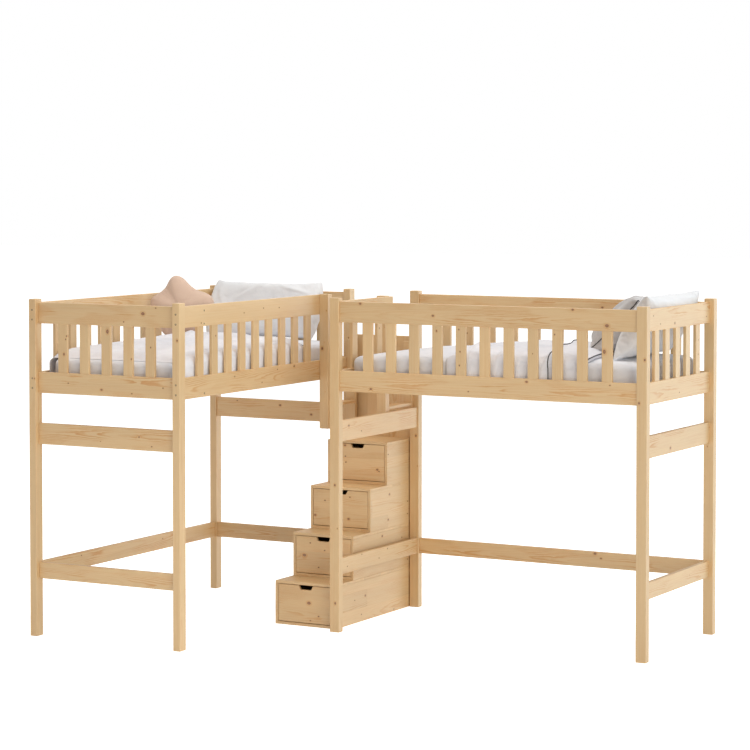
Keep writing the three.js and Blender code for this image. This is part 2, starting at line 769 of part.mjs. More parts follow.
// Bedding, placed from the middle of the mattress with X along the bed towards its finish.
function left_bedding() {
  const bedding = new THREE.Group();
  const cover = (x, y) => {
    const along = x + half_length - left_duvet_start;
    const on = along > 0 && along < left_duvet_length;
    const layer = duvet_layer(left_duvet_length, left_ridge_shares, false, along, y + half_width);
    return crown_at(x, y) + (on ? soft_gap + layer : 0);
  };
  bedding.add(named('left_mattress', mattress_geometry(), cotton, 0.9));
  const duvet = duvet_geometry(left_duvet_start, left_duvet_length, left_ridge_shares, false);
  bedding.add(named('left_duvet', duvet, cotton, 0.9));

  const pillow = named('left_pillow', pillow_geometry(pillow_length, pillow_height, pillow_thickness),
    cotton, 0.9);
  pillow.rotation.set(degToRad(left_pillow_lean), 0, -quarter_turn, 'ZYX');
  pillow.position.set(half_length - left_pillow_from_end, left_pillow_aside, 0);
  settle(pillow, cover, facet_drop);

  const star = named('star_cushion', star_geometry(), blush, 0.9);
  star.rotation.set(degToRad(star_lean), 0, degToRad(star_turn), 'ZYX');
  star.position.set(star_from_start - half_length, half_width - star_from_side, 0);
  settle(star, cover);
  bedding.add(pillow, star);
  return bedding;
}

function right_bedding() {
  const bedding = new THREE.Group();
  const cover = (x, y) => {
    const along = x + half_length - right_duvet_start;
    const on = along > 0 && along < right_duvet_length;
    const layer = duvet_layer(right_duvet_length, right_ridge_shares, true, along, y + half_width);
    return crown_at(x, y) + (on ? soft_gap + layer : 0);
  };
  bedding.add(named('right_mattress', mattress_geometry(), cotton, 0.9));
  const duvet = duvet_geometry(right_duvet_start, right_duvet_length, right_ridge_shares, true);
  bedding.add(named('right_duvet', duvet, cotton, 0.9));

  const back = named('right_pillow_back', pillow_geometry(pillow_length, pillow_height, pillow_thickness),
    cotton, 0.9);
  back.rotation.set(degToRad(back_pillow_lean), 0, -quarter_turn, 'ZYX');
  back.position.set(half_length - back_pillow_from_end, back_pillow_aside, 0);
  settle(back, cover, facet_drop);

  const front = named('right_pillow_front',
    pillow_geometry(slumped_pillow_length, slumped_pillow_height, slumped_pillow_thickness),
    cotton_grey, 0.9);
  front.rotation.set(degToRad(front_pillow_lean), 0, -quarter_turn, 'ZYX');
  front.position.set(half_length - front_pillow_from_end, front_pillow_aside, 0);
  settle(front, cover);
  bedding.add(back, front);
  return bedding;
}

// The whole set
const loft_bed = new THREE.Group();
loft_bed.position.set(-overall_length / 2, -bed_length / 2, 0);

const left_bed = bed_frame('left', 'side');
const left_soft = left_bedding();
left_soft.position.set(bed_length / 2, bed_width / 2, 0);
left_bed.add(left_soft);
left_bed.rotation.z = quarter_turn;
left_bed.position.set(bed_width, 0, 0);

const right_bed = bed_frame('right', 'end');
const right_soft = right_bedding();
right_soft.position.set(bed_length / 2, bed_width / 2, 0);
right_bed.add(right_soft);
right_bed.position.set(right_bed_x, right_bed_y, 0);

loft_bed.add(left_bed, right_bed, staircase());

export default loft_bed;
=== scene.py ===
import math

import bpy
import numpy as np
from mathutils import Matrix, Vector


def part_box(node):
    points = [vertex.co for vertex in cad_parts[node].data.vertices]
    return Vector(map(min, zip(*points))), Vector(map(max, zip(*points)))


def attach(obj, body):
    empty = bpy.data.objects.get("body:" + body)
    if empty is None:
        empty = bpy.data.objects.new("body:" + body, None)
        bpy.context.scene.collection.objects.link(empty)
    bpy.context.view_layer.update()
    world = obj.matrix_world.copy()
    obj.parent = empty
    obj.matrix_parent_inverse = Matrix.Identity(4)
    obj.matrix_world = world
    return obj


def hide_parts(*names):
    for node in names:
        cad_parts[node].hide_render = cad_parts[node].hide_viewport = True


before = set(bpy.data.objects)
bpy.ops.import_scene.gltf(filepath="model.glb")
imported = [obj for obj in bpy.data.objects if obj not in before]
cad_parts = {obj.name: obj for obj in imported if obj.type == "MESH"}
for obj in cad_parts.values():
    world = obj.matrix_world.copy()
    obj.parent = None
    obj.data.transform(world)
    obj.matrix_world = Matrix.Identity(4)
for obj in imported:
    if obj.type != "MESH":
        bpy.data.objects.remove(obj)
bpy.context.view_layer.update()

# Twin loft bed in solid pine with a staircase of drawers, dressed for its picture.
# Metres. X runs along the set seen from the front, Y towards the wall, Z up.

board_seed = 41
draw = np.random.default_rng(board_seed)

# Camera
lens_length = 124.259
sensor_width = 36.0
frame_rise = -0.14
look_down = math.radians(2.339)
look_left = math.radians(28.955)
camera_place = (7.6671, -13.8473, 2.8919)
farthest_seen = 200.0


def place_camera():
    """Stands the camera at the photograph's angle."""
    data = bpy.data.cameras.new("camera")
    data.lens = lens_length
    data.sensor_width = sensor_width
    data.shift_y = frame_rise
    data.clip_end = farthest_seen
    camera = bpy.data.objects.new("camera", data)
    camera.location = camera_place
    camera.rotation_euler = (math.pi / 2 - look_down, 0.0, look_left)
    bpy.context.scene.collection.objects.link(camera)
    bpy.context.scene.camera = camera


place_camera()

# Sizes of the beds
rail_thickness = 0.028
joint_gap = 0.0003
arris = 0.0026
thin_arris = 0.0010
tread_arris = 0.0020
guard_height = 0.554
guard_rail_height = 0.128
slat_width = 0.066
slat_thickness = 0.020
slat_tenon = 0.022
long_slats = (11, 0.1607)
end_slats = (5, 0.1459)
ledger_drop = 0.005
ledger_height = 0.040
ledger_thickness = 0.022
entry_width = 0.330
entry_post_depth = 0.050
base_slat_width = 0.068
base_slat_thickness = 0.018
base_slat_count = 14
tape_width = 0.032
tape_thickness = 0.0024
tape_sunk = 0.0012
tape_from_middle = 0.330
tape_inset = 0.0025

# Sizes of the stairs and drawers
stair_count = 4
case_walls = {"side": 0.018, "floor": 0.018, "back": 0.012}
box_walls = {"side": 0.012, "floor": 0.008, "back": 0.012}
notch_top = 0.102
notch_low = 0.080
notch_depth = 0.026
notch_corner = 0.009

# Sizes of the bedding
mattress_length = 1.970
mattress_width = 0.980
mattress_bottom = 1.5586
mattress_edge_top = 1.7256
mattress_crown = 0.034
mattress_round = 0.040
mattress_foot = 0.008
squircle_power = 9
foot_sag = 0.022
foot_sag_length = 0.400

axis_x, axis_y, axis_z = 0, 1, 2


# Building shaders

def feed(tree, socket, value):
    """Links another node's output to a socket, or sets the socket to a value."""
    if isinstance(value, bpy.types.NodeSocket):
        tree.links.new(value, socket)
    else:
        socket.default_value = value


def node(tree, kind, inputs=None, **settings):
    """Adds a node with its settings, and sets or links its inputs."""
    made = tree.nodes.new(kind)
    for name, value in settings.items():
        setattr(made, name, value)
    for name, value in (inputs or {}).items():
        feed(tree, made.inputs[name], value)
    return made


def maths(tree, operation, *values, clamp=False):
    """Output of a Math node working on numbers or sockets."""
    made = node(tree, "ShaderNodeMath", dict(enumerate(values)), operation=operation, use_clamp=clamp)
    return made.outputs[0]


def vectors(tree, operation, *values, out="Vector"):
    """Output of a Vector Math node working on vectors or sockets."""
    made = node(tree, "ShaderNodeVectorMath", dict(enumerate(values)), operation=operation)
    return made.outputs[out]


def scaled(tree, vector, factor):
    """A vector or colour times a number."""
    made = node(tree, "ShaderNodeVectorMath", {0: vector, "Scale": factor}, operation="SCALE")
    return made.outputs["Vector"]


def ramp(tree, value, low, high, start=0.0, end=1.0):
    """Smooth step of a value from low to high, sent from start to end."""
    inputs = {"Value": value, "From Min": low, "From Max": high, "To Min": start, "To Max": end}
    return node(tree, "ShaderNodeMapRange", inputs, interpolation_type="SMOOTHSTEP").outputs["Result"]


def noise(tree, vector, detail=2.0, roughness=0.5):
    """Noise of a vector that is already scaled, about 0.5."""
    inputs = {"Vector": vector, "Scale": 1.0, "Detail": detail, "Roughness": roughness}
    return node(tree, "ShaderNodeTexNoise", inputs).outputs["Fac"]


def mixed(tree, share, first, second):
    """Colour between two, by a share. A Mix node keeps its colours' sockets in these places."""
    share_in, first_in, second_in, color_out = 0, 6, 7, 2
    inputs = {share_in: share, first_in: first, second_in: second}
    return node(tree, "ShaderNodeMix", inputs, data_type="RGBA").outputs[color_out]


def attribute(tree, name, out="Vector"):
    """A named attribute that the piece's mesh carries."""
    return node(tree, "ShaderNodeAttribute", attribute_name=name).outputs[out]


def bumped(tree, height, distance, normal=None):
    """Normal from a height, laid over another normal if there is one."""
    inputs = {"Height": height, "Distance": distance}
    if normal is not None:
        inputs["Normal"] = normal
    return node(tree, "ShaderNodeBump", inputs).outputs["Normal"]


def new_group(name, inputs, outputs):
    """Node group, with the sockets that it is given and those that it fills."""
    tree = bpy.data.node_groups.new(name, "ShaderNodeTree")
    for label, kind, value in inputs:
        socket = tree.interface.new_socket(name=label, in_out="INPUT", socket_type="NodeSocket" + kind)
        if value is not None:
            socket.default_value = value
    for label, kind in outputs:
        tree.interface.new_socket(name=label, in_out="OUTPUT", socket_type="NodeSocket" + kind)
    return tree, tree.nodes.new("NodeGroupInput").outputs, tree.nodes.new("NodeGroupOutput").inputs


def use(tree, group, inputs):
    """Places a node group and gives its outputs."""
    return node(tree, "ShaderNodeGroup", inputs, node_tree=group).outputs


def srgb(red, green, blue):
    """Colour socket value of a screen colour out of 255, by the screen's own curve."""
    parts = np.array([red, green, blue]) / 255.0
    linear = np.where(parts <= 0.04045, parts / 12.92, ((parts + 0.055) / 1.055) ** 2.4)
    return (*linear.tolist(), 1.0)


def new_material(name):
    """Material with a Principled BSDF and its tree."""
    material = bpy.data.materials.new(name)
    material.use_nodes = True
    return material, material.node_tree, material.node_tree.nodes["Principled BSDF"]


# Wood shading. A tuple of four for a ramp gives where it starts and ends, and its values there.

knot_slots = 5
white = (1.0, 1.0, 1.0, 1.0)
pine_early = srgb(222, 189, 140)
pine_late = srgb(203, 145, 80)
pine_knot = srgb(160, 104, 56)
pine_rim = srgb(112, 70, 38)
pine_pin = srgb(70, 42, 26)
pine_specular = 1.0


def make_knot_field():
    """Group: how near a place is to its board's knots, and how far they push the grain.

    A board carries the places of its knots in grain coordinates, and their sizes. Nearness is
    the distance over the knot's size, 1 at its rim, stretched along the grain. The push is a
    bell about each knot. Pin marks the places about the smallest knots, which are the darkest.
    """
    tree, given, result = new_group(
        "knot field", [("Grain", "Vector", None)],
        [("Nearness", "Float"), ("Push", "Float"), ("Pin", "Float")])
    stretch = (0.75, 1.0, 0.12)
    least_size = 0.00001
    push_reach = 1.8
    pin_size = 0.005
    pin_reach = 1.5
    nearest = None
    push = None
    pins = None
    for index in range(knot_slots):
        size = maths(tree, "MAXIMUM", attribute(tree, f"knot_size_{index}", "Fac"), least_size)
        offset = vectors(tree, "SUBTRACT", given["Grain"], attribute(tree, f"knot_{index}"))
        shaped = vectors(tree, "MULTIPLY", offset, stretch)
        near = maths(tree, "DIVIDE", vectors(tree, "LENGTH", shaped, out="Value"), size)
        bell = maths(tree, "POWER", maths(tree, "DIVIDE", near, push_reach), 2.0)
        bell = maths(tree, "EXPONENT", maths(tree, "MULTIPLY", bell, -1.0))
        bulge = maths(tree, "MULTIPLY", bell, size)
        is_pin = maths(tree, "LESS_THAN", size, pin_size)
        pin_here = maths(tree, "MULTIPLY", is_pin, maths(tree, "LESS_THAN", near, pin_reach))
        nearest = near if nearest is None else maths(tree, "MINIMUM", nearest, near)
        push = bulge if push is None else maths(tree, "ADD", push, bulge)
        pins = pin_here if pins is None else maths(tree, "MAXIMUM", pins, pin_here)
    tree.links.new(nearest, result["Nearness"])
    tree.links.new(push, result["Push"])
    tree.links.new(pins, result["Pin"])
    return tree


def make_board_grain():
    """Group: growth rings of a log, cut by the faces of the board sawn from it.

    The grain vector runs along the log in X, with its pith at 0 in Y and Z. The distance from
    the pith, made to wander and pushed by knots, counts the rings. In each ring the late wood
    darkens slowly and ends sharply. It is strong only where a patchy noise is high, because a
    planed face skims some rings and cuts others.
    """
    tree, given, result = new_group(
        "board grain",
        [("Grain", "Vector", None), ("Push", "Float", 0.0), ("Ring Width", "Float", 0.005),
         ("Wander", "Float", 0.02)],
        [("Late Wood", "Float"), ("Fibre", "Float"), ("Broad", "Float"), ("Streak", "Float")])
    across_the_log = (0.0, 1.0, 1.0)
    wobble_scale = (1.6, 9.0, 9.0)
    ripple_scale = (14.0, 90.0, 90.0)
    patch_scale = (3.2, 13.0, 13.0)
    fibre_scale = (16.0, 700.0, 700.0)
    broad_scale = (1.2, 9.0, 9.0)
    streak_scale = (1.8, 150.0, 150.0)
    ripple_depth = 0.0042
    knot_push = 0.9
    late_rise = (0.35, 0.90, 0.0, 1.0)
    late_fall = (0.90, 0.97, 1.0, 0.0)
    skimmed = (0.47, 0.60, 0.16, 1.0)

    def grain_noise(scale, detail=2.0, roughness=0.5):
        return noise(tree, vectors(tree, "MULTIPLY", given["Grain"], scale), detail, roughness)

    off_pith = vectors(tree, "MULTIPLY", given["Grain"], across_the_log)
    reach = vectors(tree, "LENGTH", off_pith, out="Value")
    reach = maths(tree, "MULTIPLY_ADD", grain_noise(wobble_scale), given["Wander"], reach)
    reach = maths(tree, "MULTIPLY_ADD", grain_noise(ripple_scale, 3.0), ripple_depth, reach)
    reach = maths(tree, "MULTIPLY_ADD", given["Push"], knot_push, reach)
    part = maths(tree, "FRACT", maths(tree, "DIVIDE", reach, given["Ring Width"]))
    ring = maths(tree, "MULTIPLY", ramp(tree, part, *late_rise), ramp(tree, part, *late_fall))
    strength = ramp(tree, grain_noise(patch_scale, 1.0), *skimmed)
    tree.links.new(maths(tree, "MULTIPLY", ring, strength), result["Late Wood"])
    tree.links.new(grain_noise(fibre_scale, 3.0, 0.6), result["Fibre"])
    tree.links.new(grain_noise(broad_scale), result["Broad"])
    tree.links.new(grain_noise(streak_scale, 3.0, 0.55), result["Streak"])
    return tree


def make_glued_strips():
    """Group: grain of a panel glued up from strips, with a tone for each piece in it.

    The panel's width is cut into even strips, and each strip into lengths from a start of its
    own. Every length takes its grain from another place in the log. The glue line runs where
    a strip's share of its width is farthest from its middle.
    """
    tree, given, result = new_group(
        "glued strips",
        [("Grain", "Vector", None), ("Strip Width", "Float", 0.07), ("Length", "Float", 0.6)],
        [("Grain", "Vector"), ("Tone", "Float"), ("Glue Line", "Float")])
    farthest_in_log = (6.0, 0.09, 0.12)
    strip_middle = 0.5
    glue_line = (0.492, 0.5)
    place = node(tree, "ShaderNodeSeparateXYZ", {0: given["Grain"]}).outputs
    strip = maths(tree, "DIVIDE", place["Y"], given["Strip Width"])
    row = maths(tree, "FLOOR", strip)
    start = node(tree, "ShaderNodeTexWhiteNoise", {"W": row}, noise_dimensions="1D").outputs["Value"]
    run = maths(tree, "ADD", maths(tree, "DIVIDE", place["X"], given["Length"]), start)
    cell = node(tree, "ShaderNodeCombineXYZ", {"X": row, "Y": maths(tree, "FLOOR", run)}).outputs[0]
    own = node(tree, "ShaderNodeTexWhiteNoise", {"Vector": cell}, noise_dimensions="3D").outputs
    shift = vectors(tree, "MULTIPLY", own["Color"], farthest_in_log)
    tree.links.new(vectors(tree, "ADD", given["Grain"], shift), result["Grain"])
    tree.links.new(own["Value"], result["Tone"])
    edge = maths(tree, "ABSOLUTE", maths(tree, "SUBTRACT", maths(tree, "FRACT", strip), strip_middle))
    tree.links.new(ramp(tree, edge, *glue_line), result["Glue Line"])
    return tree


def make_planed_pine(knot_field, board_grain):
    """Group: colour, roughness and height of planed, clear-lacquered pine.

    Early and late wood, streaks, broad changes of tone, fine fibres, and knots with a dark rim
    and a warm halo. Arrises, which the mesh marks, are a little paler.
    """
    tree, given, result = new_group(
        "planed pine",
        [("Grain", "Vector", None), ("Knot Grain", "Vector", None), ("Tone", "Float", 0.5),
         ("Figure", "Float", 1.0), ("Ring Width", "Float", 0.005), ("Wander", "Float", 0.02),
         ("Early", "Color", white), ("Late", "Color", white), ("Knot", "Color", white),
         ("Rim", "Color", white), ("Pin", "Color", white)],
        [("Color", "Color"), ("Roughness", "Float"), ("Height", "Float")])
    streak_share = (0.42, 0.78, 0.0, 0.26)
    halo_share = (0.9, 2.4, 0.65, 0.0)
    broad_shade = (0.3, 0.7, 0.965, 1.03)
    fibre_shade = (0.25, 0.8, 1.01, 0.965)
    tone_shade, darkest_board = 0.10, 0.95
    arris_gain = 0.05
    ragged_rim = 0.5
    heart_share = (1.05, 1.3, 1.0, 0.0)
    rim_share = (0.45, 1.0, 0.0, 1.0)
    fibre_roughness = (0.2, 0.8, 0.42, 0.58)
    fibre_depth = -0.4
    knots = use(tree, knot_field, {"Grain": given["Knot Grain"]})
    grain = use(tree, board_grain, {"Grain": given["Grain"], "Push": knots["Push"],
                                    "Ring Width": given["Ring Width"], "Wander": given["Wander"]})
    own_figure = maths(tree, "MULTIPLY", given["Figure"], attribute(tree, "figure", "Fac"))
    late = maths(tree, "MULTIPLY", grain["Late Wood"], own_figure, clamp=True)
    color = mixed(tree, late, given["Early"], given["Late"])
    color = mixed(tree, ramp(tree, grain["Streak"], *streak_share), color, given["Late"])
    color = mixed(tree, ramp(tree, knots["Nearness"], *halo_share), color, given["Late"])
    own_tone = maths(tree, "MULTIPLY_ADD", given["Tone"], tone_shade, darkest_board)
    shade = maths(tree, "MULTIPLY", ramp(tree, grain["Broad"], *broad_shade), own_tone)
    shade = maths(tree, "MULTIPLY", shade, ramp(tree, grain["Fibre"], *fibre_shade))
    paler = maths(tree, "MULTIPLY_ADD", attribute(tree, "arris", "Fac"), arris_gain, 1.0)
    color = scaled(tree, color, maths(tree, "MULTIPLY", shade, paler))
    ragged = maths(tree, "MULTIPLY_ADD", grain["Streak"], ragged_rim, knots["Nearness"])
    heart = ramp(tree, ragged, *heart_share)
    knot_color = mixed(tree, ramp(tree, ragged, *rim_share), given["Knot"], given["Rim"])
    knot_color = mixed(tree, knots["Pin"], knot_color, given["Pin"])
    tree.links.new(mixed(tree, heart, color, knot_color), result["Color"])
    tree.links.new(ramp(tree, grain["Fibre"], *fibre_roughness), result["Roughness"])
    height = maths(tree, "MULTIPLY_ADD", grain["Fibre"], fibre_depth, late)
    tree.links.new(maths(tree, "SUBTRACT", height, heart), result["Height"])
    return tree


def make_pine(name, wood, strips=None, figure=1.0, ring_width=0.005, wander=0.02, tint=1.0,
              strip_width=0.07, strip_run=0.6):
    """Pine finish. With strips it is a glued-up panel."""
    glue_darkness = 0.12
    grain_relief = 0.00012
    material, tree, shader = new_material(name)
    grain = attribute(tree, "grain")
    values = {"Grain": grain, "Knot Grain": grain, "Tone": attribute(tree, "tone", "Fac"),
              "Figure": figure, "Ring Width": ring_width, "Wander": wander, "Early": pine_early,
              "Late": pine_late, "Knot": pine_knot, "Rim": pine_rim, "Pin": pine_pin}
    if strips:
        glued = use(tree, strips, {"Grain": grain, "Strip Width": strip_width, "Length": strip_run})
        values["Grain"] = glued["Grain"]
        values["Tone"] = glued["Tone"]
    look = use(tree, wood, values)
    color = scaled(tree, look["Color"], tint)
    if strips:
        dark = maths(tree, "MULTIPLY", glued["Glue Line"], glue_darkness)
        color = mixed(tree, dark, color, pine_late)
    tree.links.new(color, shader.inputs["Base Color"])
    tree.links.new(look["Roughness"], shader.inputs["Roughness"])
    tree.links.new(bumped(tree, look["Height"], grain_relief), shader.inputs["Normal"])
    shader.inputs["Specular IOR Level"].default_value = pine_specular
    return material


wood_group = make_planed_pine(make_knot_field(), make_board_grain())
strip_group = make_glued_strips()
finishes = {
    "pine": make_pine("pine", wood_group),
    "pine_board": make_pine("pine board", wood_group, strip_group, figure=0.7, ring_width=0.0045,
                            wander=0.018, strip_width=0.11, strip_run=2.4),
    "pine_plain": make_pine("plain pine", wood_group, figure=0.7, ring_width=0.004, wander=0.01,
                            tint=0.96),
}


# Boards

lattice_last = 3
most_rounding = 0.45
log_length = 40.0
log_slope = (0.006, 0.022)
side_slope = 0.5
pith_aside = (-0.6, 0.6)
pith_behind = (0.02, 0.07)
straight_slope = 0.2
far_pith_aside = (0.12, 0.25)
far_pith_behind = (-0.02, 0.02)
straight_figure = (0.15, 0.5)
sawn_figure = (0.7, 1.0)
knot_spacing = 0.62
knot_sizes = [0.0026, 0.0036, 0.0050, 0.0080]
knot_shares = [0.35, 0.35, 0.2, 0.1]
knot_reach_along = 0.95
knot_reach_aside = 0.8
widest_knot = 0.4


def cube_lattice():
    """Places of a four by four by four lattice that lie on its outside, and the faces on them.

    Each side of the lattice is a grid of three by three squares, wound to face outwards.
    """
    steps = np.arange(lattice_last + 1)
    lattice = np.stack(np.meshgrid(steps, steps, steps, indexing="ij"), -1).reshape(-1, 3)
    outer = ((lattice == 0) | (lattice == lattice_last)).any(1)
    index = np.full(len(lattice), -1)
    index[outer] = np.arange(outer.sum())
    index = index.reshape(len(steps), len(steps), len(steps))
    sides = []
    for axis in (axis_x, axis_y, axis_z):
        for end in (0, lattice_last):
            grid = np.take(index, end, axis)
            square = np.stack([grid[:-1, :-1], grid[1:, :-1], grid[1:, 1:], grid[:-1, 1:]], -1)
            square = square.reshape(-1, 4)
            faces_in = (end == lattice_last) == (axis == axis_y)
            sides.append(square[:, ::-1] if faces_in else square)
    return lattice[outer], np.concatenate(sides)


lattice_places, lattice_faces = cube_lattice()
lattice_ends = (lattice_places == 0) | (lattice_places == lattice_last)
lattice_arris = (lattice_ends.sum(1) > 1).astype(float)


def drawn_knots(half_run, half_across):
    """Knots for a board that hides its own: about one to 0.6 m, each anywhere on its face."""
    count = min(knot_slots, draw.poisson(2 * half_run / knot_spacing))
    at = draw.uniform(-knot_reach_along, knot_reach_along, count) * half_run
    aside = draw.uniform(-knot_reach_aside, knot_reach_aside, count) * half_across
    size = draw.choice(knot_sizes, count, p=knot_shares)
    size = np.minimum(size, half_across * widest_knot)
    return list(zip(at, aside, size))


class Boards:
    """Boards gathered into one mesh, each with its own grain, tone and knots."""

    def __init__(self):
        self.parts = []

    def add(self, low, high, along, round_over=arris, knots=None, straight=False, through=None):
        """Board in the box from low to high, with rounded edges.

        A lattice place is pushed out to the box, then drawn back on to the ball of the rounding
        radius about the nearest point of the box that is smaller by that radius. The grain is
        the place in the log: along, across and through. A plain-sawn board has its pith behind
        it and a small slope that lets the rings run out as pointed arches. A straight-grained
        one has its pith far to one side, which leaves only faint lines.
        """
        low = np.array(low, float)
        high = np.array(high, float)
        half = (high - low) / 2
        radius = min(round_over, half.min() * most_rounding)
        steps = np.stack([-half, radius - half, half - radius, half])
        places = np.take_along_axis(steps, lattice_places, 0)
        core = np.clip(places, radius - half, half - radius)
        away = places - core
        normals = away / np.linalg.norm(away, axis=1, keepdims=True)
        places = core + radius * normals

        rest = sorted((axis for axis in range(3) if axis != along), key=lambda axis: -half[axis])
        if rest[0] == through:
            rest = rest[::-1]
        half_run, half_across = half[along], half[rest[0]]
        slope = draw.uniform(*log_slope, 2) * draw.choice([-1, 1], 2) * (side_slope, 1.0)
        pith = (draw.uniform(*pith_aside) * half_across, draw.uniform(*pith_behind))
        if straight:
            slope = slope * straight_slope
            pith = (draw.uniform(*far_pith_aside), draw.uniform(*far_pith_behind))
        start = draw.uniform(0.0, log_length)

        def in_log(at, aside, behind):
            return np.stack([at + start, aside + slope[0] * at + pith[0],
                             behind + slope[1] * at + pith[1]], -1)

        rows = drawn_knots(half_run, half_across) if knots is None else knots[:knot_slots]
        knot_rows = [[*in_log(at, aside, 0.0), size] for at, aside, size in rows]
        knot_rows += [[0.0] * 4] * (knot_slots - len(rows))
        figure = draw.uniform(*(straight_figure if straight else sawn_figure))
        self.parts.append({
            "places": places + (low + high) / 2, "normals": normals, "knots": knot_rows,
            "grain": in_log(*places[:, [along, *rest]].T), "figure": figure,
            "tone": draw.uniform(0.0, 1.0),
        })

    def joined(self, trait):
        """One trait of every board, point after point."""
        return np.concatenate([part[trait] for part in self.parts])

    def mesh(self, name):
        """The boards as one mesh with their attributes."""
        count = len(self.parts)
        per_board = len(lattice_places)
        starts = (np.arange(count) * per_board)[:, None, None]
        faces = (lattice_faces[None] + starts).reshape(-1, 4)
        mesh = bpy.data.meshes.new(name)
        mesh.from_pydata(self.joined("places").tolist(), [], faces.tolist())
        mesh.shade_smooth()
        mesh.normals_split_custom_set_from_vertices(self.joined("normals").tolist())
        put_attribute(mesh, "grain", self.joined("grain"))
        put_attribute(mesh, "arris", np.tile(lattice_arris, count))
        for trait in ("tone", "figure"):
            put_attribute(mesh, trait, np.repeat([part[trait] for part in self.parts], per_board))
        put_knots(mesh, np.repeat([part["knots"] for part in self.parts], per_board, 0))
        return mesh


def put_attribute(mesh, name, values):
    """Number or vector for each point of a mesh."""
    values = np.asarray(values, np.float32)
    if values.ndim == 1:
        mesh.attributes.new(name, "FLOAT", "POINT").data.foreach_set("value", values)
    else:
        mesh.attributes.new(name, "FLOAT_VECTOR", "POINT").data.foreach_set("vector", values.ravel())


def put_knots(mesh, knots):
    """Knots of each point's board: rows of a place in the log and a size."""
    for index in range(knot_slots):
        put_attribute(mesh, f"knot_{index}", knots[:, index, :3])
        put_attribute(mesh, f"knot_size_{index}", knots[:, index, 3])


def add_piece(name, mesh, finish, body, replaced=()):
    """Puts a mesh in the scene as a piece that rides on a body."""
    piece = bpy.data.objects.new(name, mesh)
    bpy.context.scene.collection.objects.link(piece)
    mesh.materials.append(finishes[finish])
    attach(piece, body)
    if replaced:
        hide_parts(*replaced)
    return piece


def corners(name):
    """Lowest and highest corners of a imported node."""
    low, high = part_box(name)
    return np.array(low), np.array(high)


def add_single(name, along, finish="pine", round_over=arris, straight=False, through=None):
    """One board in the place of a node."""
    boards = Boards()
    boards.add(*corners(name), along, round_over, seen_knots.get(name), straight, through)
    add_piece(name + ".board", boards.mesh(name), finish, "bed_frame", [name])


def add_guard(name, along, across, slats, ledger=0, opens=False):
    """Guard: two rails with slats let into them, and a ledger on one face.

    Slats stand at an even pitch with the same margin at both ends. Where the guard opens to
    the stairs its top rail is shorter, and slats that would reach the entry post are left out.
    """
    low, high = corners(name)
    length = high[along] - low[along]
    face = low[across] if ledger >= 0 else high[across] - rail_thickness
    count, margin = slats
    pitch = (length - 2 * margin - slat_width) / (count - 1)
    top_length = length + joint_gap - entry_width if opens else length
    slat_limit = top_length - entry_post_depth if opens else length
    top_rail = guard_height - guard_rail_height
    inset = (rail_thickness - slat_thickness) / 2
    boards = Boards()

    def add(part, start, end, depth, heights, axis, round_over=arris):
        lowest = np.zeros(3)
        highest = np.zeros(3)
        lowest[along], highest[along] = low[along] + start, low[along] + end
        lowest[across], highest[across] = face + depth[0], face + depth[1]
        lowest[axis_z], highest[axis_z] = low[axis_z] + heights[0], low[axis_z] + heights[1]
        knots = seen_knots.get(f"{name}.{part}")
        straight = axis == axis_z or f"{name}.{part}" in plain_rails
        boards.add(lowest, highest, axis, round_over, knots, straight)

    whole = (0.0, rail_thickness)
    add("low", 0.0, length, whole, (0.0, guard_rail_height), along)
    add("top", 0.0, top_length, whole, (top_rail, guard_height), along)
    for i in range(count):
        start = margin + i * pitch
        if start + slat_width > slat_limit:
            continue
        heights = (guard_rail_height - slat_tenon, top_rail + slat_tenon)
        add(f"slat_{i}", start, start + slat_width, (inset, rail_thickness - inset), heights, axis_z)
    if ledger:
        behind = rail_thickness if ledger > 0 else -ledger_thickness
        heights = (ledger_drop, ledger_drop + ledger_height)
        add("ledger", 0.0, length, (behind, behind + ledger_thickness), heights, along, thin_arris)
    add_piece(name + ".boards", boards.mesh(name), "pine", "bed_frame", [name])


def add_slat_base(name, along, across):
    """Roll-up base: cross slats at an even pitch on two tapes under them."""
    low, high = corners(name)
    top = high[axis_z]
    under = top - base_slat_thickness
    run = high[along] - low[along] - base_slat_width
    middle = (low[across] + high[across]) / 2
    boards = Boards()
    for i in range(base_slat_count):
        lowest, highest = low.copy(), high.copy()
        lowest[along] = low[along] + run * i / (base_slat_count - 1)
        highest[along] = lowest[along] + base_slat_width
        lowest[axis_z] = under
        boards.add(lowest, highest, across)
    for side in (-1, 1):
        lowest, highest = low.copy(), high.copy()
        lowest[along] += tape_inset
        highest[along] -= tape_inset
        lowest[across] = middle + side * tape_from_middle - tape_width / 2
        highest[across] = middle + side * tape_from_middle + tape_width / 2
        highest[axis_z] = under + tape_sunk
        lowest[axis_z] = highest[axis_z] - tape_thickness
        boards.add(lowest, highest, along, knots=[])
    add_piece(name + ".slats", boards.mesh(name), "pine_plain", "bed_frame", [name])


